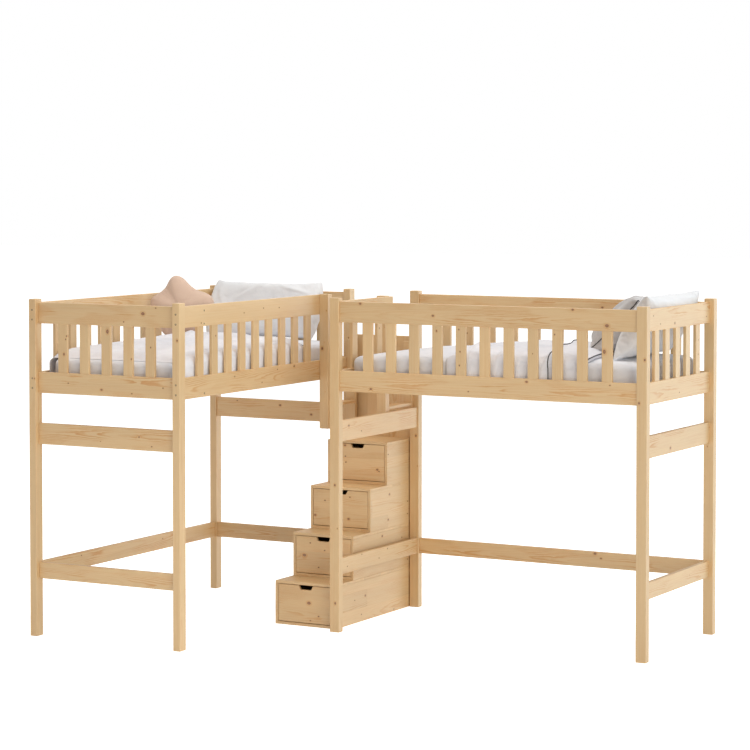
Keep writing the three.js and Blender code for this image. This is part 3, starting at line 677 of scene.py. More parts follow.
def add_bed(bed, along, across, inward):
    """Woodwork of one bed. inward is +1 where the near guard's ledger lies to its higher side,
    and -1 where it lies to its lower side."""
    for end in ("start", "finish"):
        for side in ("near", "far"):
            add_single(f"{bed}_post_{end}_{side}", axis_z, straight=True, through=axis_y)
    for rail in ("low_rail_start", "low_rail_finish", "mid_rail_start", "mid_rail_finish"):
        add_single(f"{bed}_{rail}", across)
    add_single(f"{bed}_low_rail_far", along)
    side_opens = bed == "left"
    guards = (("near", along, across, long_slats, inward, side_opens),
              ("far", along, across, long_slats, -inward, False),
              ("start", across, along, end_slats, 0, not side_opens),
              ("finish", across, along, end_slats, 0, False))
    for side, run, depth, slats, ledger, opens in guards:
        add_guard(f"{bed}_guard_{side}", run, depth, slats, ledger, opens)
    add_slat_base(f"{bed}_slat_base", along, across)
    add_single(f"{bed}_entry_post", axis_z, straight=True)
    add_single(f"{bed}_entry_cheek", axis_z, straight=True)
    add_single(f"{bed}_entry_step", along if side_opens else across)


def add_open_box(name, walls, finish, body):
    """Box that is open in front and above: two sides, and a floor and a back between them.

    walls gives how thick each of them is.
    """
    low, high = corners(name)
    left, right = low[0] + walls["side"], high[0] - walls["side"]
    rear = high[1] - walls["back"]
    top_of_floor = low[2] + walls["floor"]
    boards = Boards()
    boards.add(low, (left, high[1], high[2]), axis_y, thin_arris)
    boards.add((right, low[1], low[2]), high, axis_y, thin_arris, seen_knots.get(name + ".side"))
    boards.add((left, low[1], low[2]), (right, rear, top_of_floor), axis_x, thin_arris)
    boards.add((left, rear, low[2]), (right, high[1], high[2]), axis_x, thin_arris)
    add_piece(name + ".boards", boards.mesh(name), finish, body, [name])


def notched_outline(width, height):
    """Outline of a drawer front seen from the front, anticlockwise from its lower left corner.

    A rectangle with a trapezoid let into its top edge. Each of the notch's four corners is a
    curve through three control points: (1-t)^2 a + 2t(1-t) b + t^2 c.
    """
    corner_points = 6
    share = np.linspace(0.0, 1.0, corner_points)[:, None]

    def curve(a, b, c):
        a, b, c = np.array(a), np.array(b), np.array(c)
        return (1 - share) ** 2 * a + 2 * share * (1 - share) * b + share ** 2 * c

    top = notch_top / 2
    low = notch_low / 2
    floor = height - notch_depth
    slope = (top - low) * notch_corner / notch_depth
    half_corner = notch_corner / 2
    upper = curve((top + half_corner, height), (top, height), (top - slope / 2, height - half_corner))
    lower = curve((low + slope, floor + notch_corner), (low, floor), (low - notch_corner, floor))
    right = np.concatenate([upper, lower])
    left = right[::-1] * (-1, 1)
    box = [[-width / 2, 0.0], [width / 2, 0.0], [width / 2, height]]
    return np.concatenate([box, right, left, [[-width / 2, height]]])


def add_drawer_front(number):
    """Inset front with its hand notch: the outline carried through the front's thickness."""
    grain_slope = 0.02
    even_tone = 0.5
    front_pith_aside = (-0.05, 0.05)
    front_pith_behind = (0.03, 0.06)
    name = f"drawer_front_{number}"
    low, high = corners(name)
    outline = notched_outline(high[0] - low[0], high[2] - low[2])
    count = len(outline)
    middle = (low[0] + high[0]) / 2
    places = np.concatenate([
        np.stack([outline[:, 0] + middle, np.full(count, y), outline[:, 1] + low[2]], 1)
        for y in (low[1], high[1])])
    here = np.arange(count)
    after = np.roll(here, -1)
    walls = np.stack([here, here + count, after + count, after], 1)
    faces = [here.tolist(), (here + count)[::-1].tolist(), *walls.tolist()]
    mesh = bpy.data.meshes.new(name)
    mesh.from_pydata(places.tolist(), [], faces)
    mesh.shade_flat()
    local = places - (low + high) / 2
    start = [draw.uniform(0.0, log_length), draw.uniform(*front_pith_aside)]
    start = np.array([*start, draw.uniform(*front_pith_behind)])
    grain = local[:, [axis_x, axis_z, axis_y]] + start
    grain[:, 2] += grain_slope * local[:, 0]
    put_attribute(mesh, "grain", grain)
    put_attribute(mesh, "arris", np.zeros(len(places)))
    put_attribute(mesh, "tone", np.full(len(places), even_tone))
    put_attribute(mesh, "figure", np.ones(len(places)))
    rows = [*seen_knots[name], *[(0.0, 0.0, 0.0)] * knot_slots][:knot_slots]
    knots = [[*(start + (at, aside, grain_slope * at)), size] for at, aside, size in rows]
    put_knots(mesh, np.tile(knots, (len(places), 1, 1)))
    piece = add_piece(name + ".board", mesh, "pine_board", f"drawer_{number}", [name])
    edge = piece.modifiers.new("edge", "BEVEL")
    edge.width = thin_arris
    edge.segments = 2
    edge.limit_method = "ANGLE"
    edge.harden_normals = True


# Knots that show: along the board from its middle, aside from its middle line, and the size.
pin, small, wide = 0.0038, 0.0065, 0.0095
plain_rails = {"left_guard_near.top"}
seen_knots = {
    "left_post_start_near": [(0.815, 0.010, small)],
    "right_post_start_near": [(-0.121, 0.004, small), (-0.389, 0.022, pin), (-0.854, 0.006, small)],
    "right_post_start_far": [(0.089, 0.013, small), (-0.108, 0.026, pin), (-0.665, 0.009, small)],
    "right_post_finish_near": [(0.476, -0.015, small), (0.728, 0.019, small)],
    "left_guard_start.top": [(0.272, 0.016, wide), (0.133, -0.037, pin), (0.364, 0.052, pin)],
    "left_guard_start.low": [(-0.275, 0.004, pin), (-0.030, -0.026, small), (0.414, 0.003, pin),
                             (0.190, -0.040, pin)],
    "left_guard_start.slat_0": [(0.057, 0.024, pin), (0.077, 0.029, pin), (-0.034, 0.010, small)],
    "left_guard_start.slat_2": [(0.114, 0.012, wide)],
    "left_guard_start.slat_3": [(-0.046, 0.026, pin)],
    "left_guard_near.top": [(-0.631, -0.044, pin), (-0.145, -0.007, pin), (0.084, 0.011, pin),
                            (0.273, 0.005, pin)],
    "left_guard_near.low": [(-0.420, 0.033, pin), (0.086, 0.042, pin), (0.292, 0.048, small),
                            (-0.100, -0.026, pin)],
    "left_mid_rail_finish": [(-0.334, 0.047, pin), (0.005, 0.030, small), (0.246, -0.021, small)],
    "right_guard_near.top": [(-0.344, -0.006, small), (0.580, 0.056, small), (0.799, -0.032, wide),
                             (-0.846, 0.054, small)],
    "right_guard_near.low": [(0.282, 0.046, small), (-0.772, -0.041, small), (0.819, 0.047, pin),
                             (-0.104, -0.028, pin)],
    "right_guard_near.slat_4": [(0.129, -0.011, pin), (-0.004, -0.002, pin), (-0.087, -0.007, pin)],
    "right_guard_near.slat_8": [(0.119, -0.016, pin)],
    "right_guard_near.slat_10": [(0.029, -0.016, wide)],
    "right_guard_far.top": [(0.306, 0.011, small)],
    "right_guard_finish.top": [(-0.280, -0.028, pin), (-0.385, 0.025, pin), (-0.060, -0.035, small),
                               (0.442, -0.021, pin)],
    "right_guard_finish.low": [(0.015, -0.027, pin)],
    "right_guard_finish.slat_4": [(0.056, 0.010, pin), (-0.032, 0.004, pin)],
    "right_low_rail_start": [(-0.241, 0.041, pin), (0.093, 0.034, pin), (-0.017, -0.012, pin),
                             (-0.425, -0.010, pin)],
    "right_mid_rail_start": [(-0.405, 0.025, small), (-0.245, -0.022, pin)],
    "drawer_front_4": [(-0.092, 0.104, small), (-0.089, 0.033, pin), (-0.085, -0.005, pin),
                       (0.147, -0.042, small), (0.160, -0.053, pin)],
    "drawer_front_3": [(-0.115, 0.045, pin), (0.069, 0.077, pin), (0.059, -0.064, small),
                       (-0.188, -0.054, small)],
    "drawer_front_2": [(-0.095, 0.076, pin), (0.010, 0.035, pin), (-0.138, -0.005, wide),
                       (-0.034, -0.076, pin)],
    "drawer_front_1": [(0.024, 0.010, wide), (0.034, -0.100, pin), (0.094, -0.068, pin)],
    "stair_carcass_4.side": [(-0.147, 0.070, pin)],
    "stair_carcass_3.side": [(-0.020, 0.086, small), (0.225, 0.014, pin), (0.225, -0.068, pin),
                             (-0.037, -0.076, small)],
    "stair_carcass_2.side": [(-0.007, 0.104, small), (0.258, 0.063, pin), (0.335, -0.090, pin)],
    "stair_carcass_1.side": [(-0.255, 0.018, pin), (-0.119, 0.029, small), (0.260, -0.115, pin),
                             (-0.170, -0.084, pin)],
}
add_bed("left", axis_y, axis_x, -1)
add_bed("right", axis_x, axis_y, 1)
for stair in range(1, stair_count + 1):
    add_open_box(f"stair_carcass_{stair}", case_walls, "pine_board", "bed_frame")
    add_single(f"stair_tread_{stair}", axis_x, "pine_board", tread_arris)
    add_open_box(f"drawer_box_{stair}", box_walls, "pine_plain", f"drawer_{stair}")
    add_drawer_front(stair)
add_single("stair_back_panel", axis_z, "pine_board")


# Bolts

def make_bolt_steel():
    """Dark zinc-plated steel, with fine rings from turning and a duller, cloudy bloom."""
    ring_turns = 9000.0
    ring_relief = 0.00002
    bloom_scale = 900.0
    bloom_roughness = (0.3, 0.7, 0.34, 0.55)
    material, tree, shader = new_material("bolt steel")
    place = attribute(tree, "cloth")
    reach = vectors(tree, "LENGTH", place, out="Value")
    rings = maths(tree, "SINE", maths(tree, "MULTIPLY", reach, ring_turns))
    bloom = noise(tree, scaled(tree, place, bloom_scale))
    color = mixed(tree, bloom, srgb(96, 90, 84), srgb(62, 57, 53))
    tree.links.new(color, shader.inputs["Base Color"])
    tree.links.new(ramp(tree, bloom, *bloom_roughness), shader.inputs["Roughness"])
    tree.links.new(bumped(tree, rings, ring_relief), shader.inputs["Normal"])
    shader.inputs["Metallic"].default_value = 0.85
    return material


finishes["bolt_steel"] = make_bolt_steel()
post_bolt_heights = (1.5260, 1.5850, 1.9450, 2.0040)
guard_bolt_heights = (1.516, 1.936, 2.015)
guard_bolt_y = -0.764
socket_radius = 0.0030
bolt_profile = ((0.0, -0.0016), (0.0026, -0.0016), (socket_radius, 0.0007), (0.0042, 0.0009),
                (0.0052, 0.0004), (0.0056, -0.0004), (0.0056, -0.0020), (0.0, -0.0020))


def grid_faces(rows, columns, wrap=False):
    """Squares of a grid of points, row by row, joined round its columns if it wraps."""
    row = np.arange(rows - 1)[:, None] * columns
    column = np.arange(columns if wrap else columns - 1)[None]
    after = (column + 1) % columns
    squares = np.stack([row + column, row + after, row + columns + after, row + columns + column], -1)
    return squares.reshape(-1, 4)


def add_bolts(name, places, axis, side):
    """Socket bolt heads let into a face: a profile of radius and height turned about the axis.

    The radius inside the rim follows a hexagon, so the socket has six flats.
    """
    around = 24
    flat_angle = math.pi / 3
    welded_within = 0.00001
    angle = np.arange(around) * 2 * math.pi / around
    flats = np.cos(flat_angle / 2) / np.cos((angle % flat_angle) - flat_angle / 2)
    first, second = [other for other in range(3) if other != axis]
    rings = []
    for radius, height in bolt_profile:
        reach = radius * (flats if radius <= socket_radius else np.ones(around))
        ring = np.zeros((around, 3))
        ring[:, first], ring[:, second] = reach * np.cos(angle), reach * np.sin(angle)
        ring[:, axis] = side * height
        rings.append(ring)
    head = np.concatenate(rings)
    squares = grid_faces(len(rings), around, wrap=True)
    turned_in = (side > 0) == (axis == axis_y)
    squares = squares if turned_in else squares[:, ::-1]
    every = (head[None] + np.array(places)[:, None]).reshape(-1, 3)
    starts = (np.arange(len(places)) * len(head))[:, None, None]
    mesh = bpy.data.meshes.new(name)
    mesh.from_pydata(every.tolist(), [], (squares[None] + starts).reshape(-1, 4).tolist())
    mesh.shade_smooth()
    put_attribute(mesh, "cloth", np.tile(head, (len(places), 1)))
    bolts = add_piece(name, mesh, "bolt_steel", "bed_frame")
    weld = bolts.modifiers.new("weld", "WELD")
    weld.merge_threshold = welded_within


def add_post_bolts(post, axis, side):
    """Four bolts in a post's face, two to each guard rail behind it."""
    low, high = corners(post)
    place = (low + high) / 2
    place[axis] = high[axis] if side > 0 else low[axis]
    places = [(place[0], place[1], height) for height in post_bolt_heights]
    add_bolts(post + ".bolts", places, axis, side)


for end, side in (("start", -1), ("finish", 1)):
    for flank in ("near", "far"):
        add_post_bolts(f"left_post_{end}_{flank}", axis_y, side)
for flank in ("near", "far"):
    add_post_bolts(f"right_post_start_{flank}", axis_x, -1)
guard_face = corners("left_guard_near")[1][0]
guard_bolts = [(guard_face, guard_bolt_y, height) for height in guard_bolt_heights]
add_bolts("left_guard_near.bolts", guard_bolts, axis_x, 1)


# Cloth shading

def make_woven_cotton():
    """Group: plain weave and creases of a cotton cloth.

    Warp and weft are two sines of the cloth's own coordinates, one thread apart, and slubs
    thicken some of the threads. Creases are a folded noise, high only along thin lines.
    """
    tree, given, result = new_group(
        "woven cotton",
        [("Cloth", "Vector", None), ("Thread", "Float", 0.0011), ("Crease Size", "Float", 9.0)],
        [("Weave", "Float"), ("Crease", "Float"), ("Tone", "Float")])
    slub_scale = (60.0, 900.0, 60.0)
    thread_share = 0.5
    noise_middle = 0.5
    crease_line = (0.0, 0.10, 1.0, 0.0)
    tone_scale = 3.0
    turns = maths(tree, "DIVIDE", 2 * math.pi, given["Thread"])
    place = node(tree, "ShaderNodeSeparateXYZ", {0: given["Cloth"]}).outputs
    warp = maths(tree, "SINE", maths(tree, "MULTIPLY", place["X"], turns))
    weft = maths(tree, "SINE", maths(tree, "MULTIPLY", place["Y"], turns))
    slub = noise(tree, vectors(tree, "MULTIPLY", given["Cloth"], slub_scale), 1.0)
    weave = maths(tree, "MULTIPLY_ADD", maths(tree, "MULTIPLY", warp, weft), thread_share, slub)
    tree.links.new(weave, result["Weave"])
    rumple = noise(tree, scaled(tree, given["Cloth"], given["Crease Size"]), 3.0, 0.55)
    ridge = maths(tree, "ABSOLUTE", maths(tree, "SUBTRACT", rumple, noise_middle))
    tree.links.new(ramp(tree, ridge, *crease_line), result["Crease"])
    tree.links.new(noise(tree, scaled(tree, given["Cloth"], tone_scale)), result["Tone"])
    return tree


def make_cotton(name, light, shade, thread=0.0011, sheen=0.25):
    """Cotton finish: two close tones, a fine weave and soft creases, which are also painted towards
    the darker tone as painted shade.
    """
    crease_painted_shade = 0.10
    tone_share = (0.35, 0.85)
    weave_roughness = (0.0, 1.0, 0.95, 0.82)
    crease_relief = 0.0006
    weave_relief = 0.00012
    material, tree, shader = new_material(name)
    look = use(tree, weave_group, {"Cloth": attribute(tree, "cloth"), "Thread": thread})
    # Painted shade: the crease lines pull the colour towards the darker tone.
    share = maths(tree, "MULTIPLY_ADD", look["Crease"], crease_painted_shade, look["Tone"])
    color = mixed(tree, ramp(tree, share, *tone_share), light, shade)
    tree.links.new(color, shader.inputs["Base Color"])
    tree.links.new(ramp(tree, look["Weave"], *weave_roughness), shader.inputs["Roughness"])
    creased = bumped(tree, look["Crease"], crease_relief)
    tree.links.new(bumped(tree, look["Weave"], weave_relief, creased), shader.inputs["Normal"])
    shader.inputs["Specular IOR Level"].default_value = 0.2
    shader.inputs["Sheen Weight"].default_value = sheen
    shader.inputs["Sheen Roughness"].default_value = 0.5
    return material


def make_piping():
    """Black twisted cord sewn into a hem. Its strands run round it as they run along it, and the
    grooves between them are painted darker as painted shade.
    """
    turns_along, strands = 1600.0, 2.0
    strand_roughness = (-1.0, 1.0, 0.8, 0.65)
    strand_relief = 0.0002
    material, tree, shader = new_material("piping")
    place = node(tree, "ShaderNodeSeparateXYZ", {0: attribute(tree, "cloth")}).outputs
    round_it = maths(tree, "MULTIPLY", place["Y"], strands)
    strand = maths(tree, "SINE", maths(tree, "MULTIPLY_ADD", place["X"], turns_along, round_it))
    # Painted shade: darker in the grooves between the strands, lighter on their crowns.
    color = mixed(tree, ramp(tree, strand, -1.0, 1.0), srgb(22, 22, 24), srgb(48, 47, 48))
    tree.links.new(color, shader.inputs["Base Color"])
    tree.links.new(ramp(tree, strand, *strand_roughness), shader.inputs["Roughness"])
    tree.links.new(bumped(tree, strand, strand_relief), shader.inputs["Normal"])
    return material


weave_group = make_woven_cotton()
finishes["fitted_sheet"] = make_cotton("fitted sheet", srgb(237, 239, 246), srgb(229, 231, 239))
finishes["duvet_cotton"] = make_cotton("duvet cotton", srgb(240, 240, 246), srgb(230, 230, 237))
finishes["pillow_cotton"] = make_cotton("pillow cotton", srgb(240, 240, 242), srgb(232, 233, 236))
finishes["pillow_grey"] = make_cotton("grey cotton", srgb(214, 212, 212), srgb(196, 193, 194))
finishes["star_fabric"] = make_cotton("blush fabric", srgb(221, 192, 171), srgb(206, 174, 154),
                                      thread=0.0024, sheen=0.4)
finishes["piping"] = make_piping()


# Bedding

half_length = mattress_length / 2
half_width = mattress_width / 2
mattress_depth = mattress_edge_top - mattress_bottom


def smooth_step(value):
    """0 below 0, 1 above 1, and t*t*(3 - 2*t) between."""
    t = np.clip(value, 0.0, 1.0)
    return t * t * (3 - 2 * t)


def on_bed(places, bed):
    """Sends places from the middle of a bed, X along it, to the set's own axes.

    Towards the foot the bedding sags by a smooth step, in full at its top and not at all at
    the mattress's bottom.
    """
    low, high = corners(f"{bed}_mattress")
    middle = (low + high) / 2
    x, y, z = places[..., 0], places[..., 1], places[..., 2]
    near_foot = 1 - smooth_step((x + half_length) / foot_sag_length)
    z = z - foot_sag * near_foot * np.clip((z - mattress_bottom) / mattress_depth, 0.0, 1.0)
    if bed == "left":
        return np.stack([middle[0] - y, middle[1] + x, z], -1)
    return np.stack([middle[0] + x, middle[1] + y, z], -1)


def swell(x, y, seed, longest=0.5, shortest=0.08):
    """Gentle unevenness between about -1 and 1: a sum of sines, each with its own direction,
    length of wave and start, the shorter ones lower, and each bent by a slower sine."""
    waves = 14
    bend_share = 0.4
    bend_turns = 4.0
    shorter_lower = 0.7
    source = np.random.default_rng(seed)
    total = np.zeros(np.broadcast(x, y).shape)
    for _ in range(waves):
        turn, start = source.uniform(0.0, 2 * math.pi, 2)
        wave = longest * (shortest / longest) ** source.uniform(0.0, 1.0)
        aside = x * math.sin(turn) - y * math.cos(turn)
        bend = bend_share * wave * np.sin(bend_turns * aside + start)
        along = x * math.cos(turn) + y * math.sin(turn) + bend
        total += (wave / longest) ** shorter_lower * np.sin(2 * math.pi / wave * along + start)
    return total / math.sqrt(waves)


def folds(x, y, rows):
    """Sum of soft ridges. Each is a line from one place to another with a height and a width,
    with a bell section across it that is steeper on one side, and fades past its ends."""
    stray, stray_turns, stray_start = 0.35, 3.4, 31
    steep_side, gentle_side = 0.6, 1.25
    end_reach = 2.2
    end_height = 0.55
    total = np.zeros(np.broadcast(x, y).shape)
    for x0, y0, x1, y1, height, width in rows:
        reach = math.hypot(x1 - x0, y1 - y0)
        way = ((x1 - x0) / reach, (y1 - y0) / reach)
        along = (x - x0) * way[0] + (y - y0) * way[1]
        aside = (x - x0) * way[1] - (y - y0) * way[0]
        aside = aside + stray * width * np.sin(along / reach * stray_turns + x0 * stray_start)
        aside = np.where(aside > 0, aside / (steep_side * width), aside / (gentle_side * width))
        past = np.maximum(0, np.maximum(-along, along - reach)) / (end_reach * width)
        arch = np.sin(np.clip(along / reach, 0.0, 1.0) * math.pi)
        fade = arch * (1 - end_height) + end_height
        total += height * fade * np.exp(-aside ** 2 - past ** 2)
    return total


def two_skins(upper, lower, cloth):
    """Closed body from two grids of the same size that share their rims.

    The lower grid's inner points are its own, and its rim is the upper grid's.
    """
    rows, columns = upper.shape[:2]
    inside = np.zeros((rows, columns), bool)
    inside[1:-1, 1:-1] = True
    bottom = np.arange(rows * columns).reshape(rows, columns)
    bottom[inside] = rows * columns + np.arange(inside.sum())
    places = np.concatenate([upper.reshape(-1, 3), lower[inside]])
    squares = grid_faces(rows, columns)
    faces = np.concatenate([squares, bottom.ravel()[squares][:, ::-1]])
    marks = np.concatenate([cloth.reshape(-1, 3), cloth[inside]])
    return places, faces.tolist(), marks


def tube_faces(rows, around):
    """Squares of a tube of rings, with a flat face over the first ring and over the last."""
    faces = grid_faces(rows, around, wrap=True).tolist()
    faces.append(list(range(around))[::-1])
    faces.append(list(range((rows - 1) * around, rows * around)))
    return faces


def soft_mesh(name, places, faces, cloth):
    """Smooth mesh that carries its cloth coordinates."""
    mesh = bpy.data.meshes.new(name)
    mesh.from_pydata(places.tolist(), [], faces)
    mesh.shade_smooth()
    put_attribute(mesh, "cloth", cloth)
    return mesh


def squircle(angle):
    """Corners-rounded square through 1 and -1: cosine and sine raised to 2 over the power."""
    def bend(value):
        return np.sign(value) * np.abs(value) ** (2 / squircle_power)
    return bend(np.cos(angle)), bend(np.sin(angle))


def crown_at(x, y):
    """Height of the mattress top: highest in the middle, falling to its edge as the square of
    the share of the way there."""
    a = np.abs(x) / (half_length - mattress_round)
    b = np.abs(y) / (half_width - mattress_round)
    share = np.minimum(1.0, (a ** squircle_power + b ** squircle_power) ** (1 / squircle_power))
    return mattress_edge_top + mattress_crown * (1 - share ** 2)


def add_mattress(bed, seed):
    """Mattress in its fitted sheet: rings from the foot, up the side, round the edge and over
    the crown. Gathers run down the sides, most near the corners, and fade towards the top."""
    around = 288
    side_rings, edge_rings, crown_rings = 12, 9, 42
    girth_reach = 0.78
    gathers, gather_stray, stray_turns = 210, 3, 13
    corner_power = 6
    plain_gather = 0.15
    gather_depth = 0.0022
    gather_fade = 0.7
    side_uneven = 0.0016
    crown_uneven = 0.0022
    crown_drop = 0.0015
    foot_round = (0.3, 0.003)
    edge_hold = 6
    angle = (np.arange(around) + 0.5) * 2 * math.pi / around
    along, across = squircle(angle)
    girth = angle * girth_reach
    corner = np.minimum(np.abs(across), np.abs(along)) ** corner_power
    gather = np.sin(girth * gathers + gather_stray * np.sin(girth * stray_turns))
    gather = gather * (plain_gather + (1 - plain_gather) * corner)
    top_of_side = mattress_edge_top - mattress_round
    side_height = top_of_side - mattress_bottom - mattress_foot
    rows = [(mattress_foot, mattress_bottom, 0.0),
            (mattress_foot * foot_round[0], mattress_bottom + foot_round[1], 0.0)]
    for share in np.linspace(0.0, 1.0, side_rings):
        rows.append((0.0, mattress_bottom + mattress_foot + share * side_height, share))
    for turn in np.linspace(0.0, math.pi / 2, edge_rings)[1:]:
        height = top_of_side + mattress_round * math.sin(turn)
        rows.append((mattress_round * (1 - math.cos(turn)), height, 1.0))
    rings = []
    for inset, height, share in rows:
        x = (half_length - inset) * along
        y = (half_width - inset) * across
        uneven = side_uneven * swell(x, y + height, seed)
        depth = gather_depth * gather * (1 - share) ** gather_fade + uneven - gather_depth
        rings.append(np.stack([x + depth * along, y + depth * across, np.full(around, height)], -1))
    for share in np.linspace(1.0, 0.0, crown_rings)[1:-1]:
        x = (half_length - mattress_round) * share * along
        y = (half_width - mattress_round) * share * across
        height = mattress_edge_top + mattress_crown * (1 - share ** 2)
        held = min(1.0, edge_hold * (1 - share))
        height = height + crown_uneven * swell(x, y, seed + 1) * held - crown_drop
        rings.append(np.stack([x, y, height], -1))
    flat = np.concatenate(rings)
    mesh = soft_mesh(f"{bed} mattress", on_bed(flat, bed), tube_faces(len(rings), around), flat)
    piece = add_piece(f"{bed}_mattress.sheet", mesh, "fitted_sheet", "bed_frame", [f"{bed}_mattress"])


add_mattress("left", 5)
add_mattress("right", 6)

duvet_thickness = 0.028
duvet_hem = 0.004
duvet_drop = 0.092
duvet_flap = 0.009
duvet_wave = 0.0042
duvet_uneven = 0.0034
hem_round = 0.009
hem_swell = 3.0
fold_strength = 1.7
soft_gap = 0.0010
tucked_foot = 0.045
tucked_share = 0.15
foldback_length = 0.350
foldback_height = 0.022
foldback_slope = 0.140
foldback_edge = 0.035
piping_radius = 0.0030
left_duvet = {"start": 0.062, "length": 1.430, "fold": False, "seed": 21, "rows": 170}
right_duvet = {"start": 0.705, "length": 0.930, "fold": True, "seed": 22, "rows": 120}
left_duvet["folds"] = [
    (0.03, 0.34, 0.49, 0.02, 0.009, 0.046), (0.43, 0.73, 0.89, 0.05, 0.012, 0.052),
    (0.79, 0.93, 1.38, 0.39, 0.013, 0.060), (1.00, 0.29, 1.40, 0.03, 0.011, 0.040),
    (0.10, 0.60, 0.42, 0.45, 0.007, 0.030), (0.20, 0.90, 0.30, 0.55, 0.008, 0.035),
    (0.95, 0.60, 1.25, 0.72, 0.008, 0.030), (0.62, 0.30, 0.70, 0.02, 0.008, 0.024),
    (0.30, 0.22, 0.36, 0.01, 0.007, 0.020), (1.15, 0.15, 1.22, 0.00, 0.009, 0.022),
]
right_duvet["folds"] = [
    (0.02, 0.05, 0.28, 0.54, 0.011, 0.048), (0.19, 0.02, 0.42, 0.39, 0.009, 0.040),
    (0.09, 0.93, 0.47, 0.59, 0.012, 0.060), (0.05, 0.40, 0.16, 0.02, 0.008, 0.022),
    (0.30, 0.30, 0.36, 0.00, 0.008, 0.022), (0.55, 0.62, 0.80, 0.25, 0.007, 0.030),
    (0.62, 0.90, 0.85, 0.70, 0.007, 0.032),
]
flat_half = half_width - mattress_round
edge_arc = mattress_round * math.pi / 2
duvet_reach = flat_half + edge_arc + duvet_drop


def fold_edge(plan, y):
    """Where the turned-back layer of a duvet ends, at a place across it."""
    return plan["length"] - foldback_length + foldback_slope * (0.5 - y / mattress_width)


def duvet_layer(plan, x, y):
    """Thickness of a duvet at a place on it: thin at its hems, full inside, with folds, soft
    unevenness and the layer that is turned back."""
    full = smooth_step(np.minimum(x, plan["length"] - x) / (hem_swell * duvet_thickness))
    body = duvet_hem + (duvet_thickness - duvet_hem) * full
    relief = fold_strength * folds(x, y, plan["folds"]) + duvet_uneven * swell(x, y, plan["seed"])
    body = body + full * relief
    if plan["fold"]:
        body = body + foldback_height * smooth_step((x - fold_edge(plan, y)) / foldback_edge)
    return body


def duvet_places(plan, x, t, lift):
    """Places on a duvet at a distance x along it and t across it from its middle line.

    Across the bed the section lies on the crown, turns down round the mattress's edge and
    hangs beside it. lift is 0 on the under side and 1 on the outer side. The foot hem is
    pressed flat. The hanging sides wave along the bed by a sine whose start strays.
    """
    wave_turns, wave_stray, stray_turns, side_shift = 31, 2.5, 7, 1.5
    still_top = 0.3
    side = np.sign(t)
    turn = np.clip((np.abs(t) - flat_half) / mattress_round, 0.0, math.pi / 2)
    hang = np.maximum(np.abs(t) - flat_half - edge_arc, 0.0)
    flat = np.clip(t, -flat_half, flat_half)
    along = x + plan["start"] - half_length
    y = flat + side * mattress_round * np.sin(turn)
    z = crown_at(along, flat) - mattress_round * (1 - np.cos(turn)) - hang
    top = 1 - turn / (math.pi / 2)
    layer = duvet_layer(plan, x, flat + half_width)
    stray = wave_stray * np.sin(x * stray_turns + plan["seed"])
    wave = duvet_wave * np.sin(x * wave_turns + stray + side_shift * side)
    free = still_top + (1 - still_top) * smooth_step(hang / duvet_drop * 2)
    flap = duvet_flap + wave * free
    pressed = tucked_share + (1 - tucked_share) * smooth_step(x / tucked_foot)
    depth = pressed * (soft_gap + (flap * (1 - top) + layer * top) * lift)
    return np.stack([along, y + side * np.sin(turn) * depth, z + np.cos(turn) * depth], -1)


def add_duvet(bed, plan):
    """Duvet: an upper and an under skin over a grid of places along and across it. Their
    distance follows a quarter circle from the hem inwards."""
    columns = 150
    x = np.linspace(0.0, plan["length"], plan["rows"])
    t = np.linspace(-duvet_reach, duvet_reach, columns)
    x, t = np.meshgrid(x, t, indexing="ij")
    rim = np.minimum(np.minimum(x, plan["length"] - x), duvet_reach - np.abs(t)) / hem_round
    rim = np.clip(rim, 0.0, 1.0)
    plump = np.sqrt(rim * (2 - rim))
    upper = duvet_places(plan, x, t, 0.5 + 0.5 * plump)
    lower = duvet_places(plan, x, t, 0.5 - 0.5 * plump)
    cloth = np.stack([x, t, np.zeros_like(x)], -1)
    places, faces, marks = two_skins(upper, lower, cloth)
    mesh = soft_mesh(f"{bed} duvet", on_bed(places, bed), faces, marks)
    piece = add_piece(f"{bed}_duvet.cloth", mesh, "duvet_cotton", "bed_frame", [f"{bed}_duvet"])


def add_piping(name, path, out):
    """Round cord along a path: a circle in the plane of the outward direction and the one
    square to both it and the path."""
    sides = 10
    way = np.gradient(path, axis=0)
    way /= np.linalg.norm(way, axis=1, keepdims=True)
    aside = np.cross(way, out)
    aside /= np.linalg.norm(aside, axis=1, keepdims=True)
    up = np.cross(aside, way)
    turn = np.arange(sides) * 2 * math.pi / sides
    ring = np.cos(turn)[None, :, None] * up[:, None] + np.sin(turn)[None, :, None] * aside[:, None]
    places = (path[:, None] + piping_radius * ring).reshape(-1, 3)
    steps = np.linalg.norm(np.diff(path, axis=0), axis=1)
    run = np.concatenate([[0.0], np.cumsum(steps)])
    marks = np.stack([np.repeat(run, sides), np.tile(turn, len(path)), np.zeros(len(places))], 1)
    mesh = soft_mesh(name, places, tube_faces(len(path), sides), marks)
    add_piece(name, mesh, "piping", "bed_frame")


def duvet_line(bed, plan, x, t):
    """Piping's path along a line on a duvet's upper side, and the way out from it there."""
    path = on_bed(duvet_places(plan, x, t, 1.0), bed)
    under = on_bed(duvet_places(plan, x, t, 0.0), bed)
    out = path - under
    return path, out / np.linalg.norm(out, axis=1, keepdims=True)


def add_duvet_piping(bed, plan):
    """Piping along a duvet's head hem, and along the turned-back layer's edge."""
    inset = 0.001
    points = 240
    t = np.linspace(-duvet_reach + inset, duvet_reach - inset, points)
    path, out = duvet_line(bed, plan, np.full_like(t, plan["length"] - inset), t)
    add_piping(f"{bed}_duvet.piping_head", path - out * duvet_hem / 2, out)
    if plan["fold"]:
        edge = fold_edge(plan, np.clip(t, -half_width, half_width) + half_width) + foldback_edge
        path, out = duvet_line(bed, plan, edge, t)
        add_piping(f"{bed}_duvet.piping_fold", path + out * piping_radius / 2, out)


add_duvet("left", left_duvet)
add_duvet("right", right_duvet)
add_duvet_piping("left", left_duvet)
add_duvet_piping("right", right_duvet)


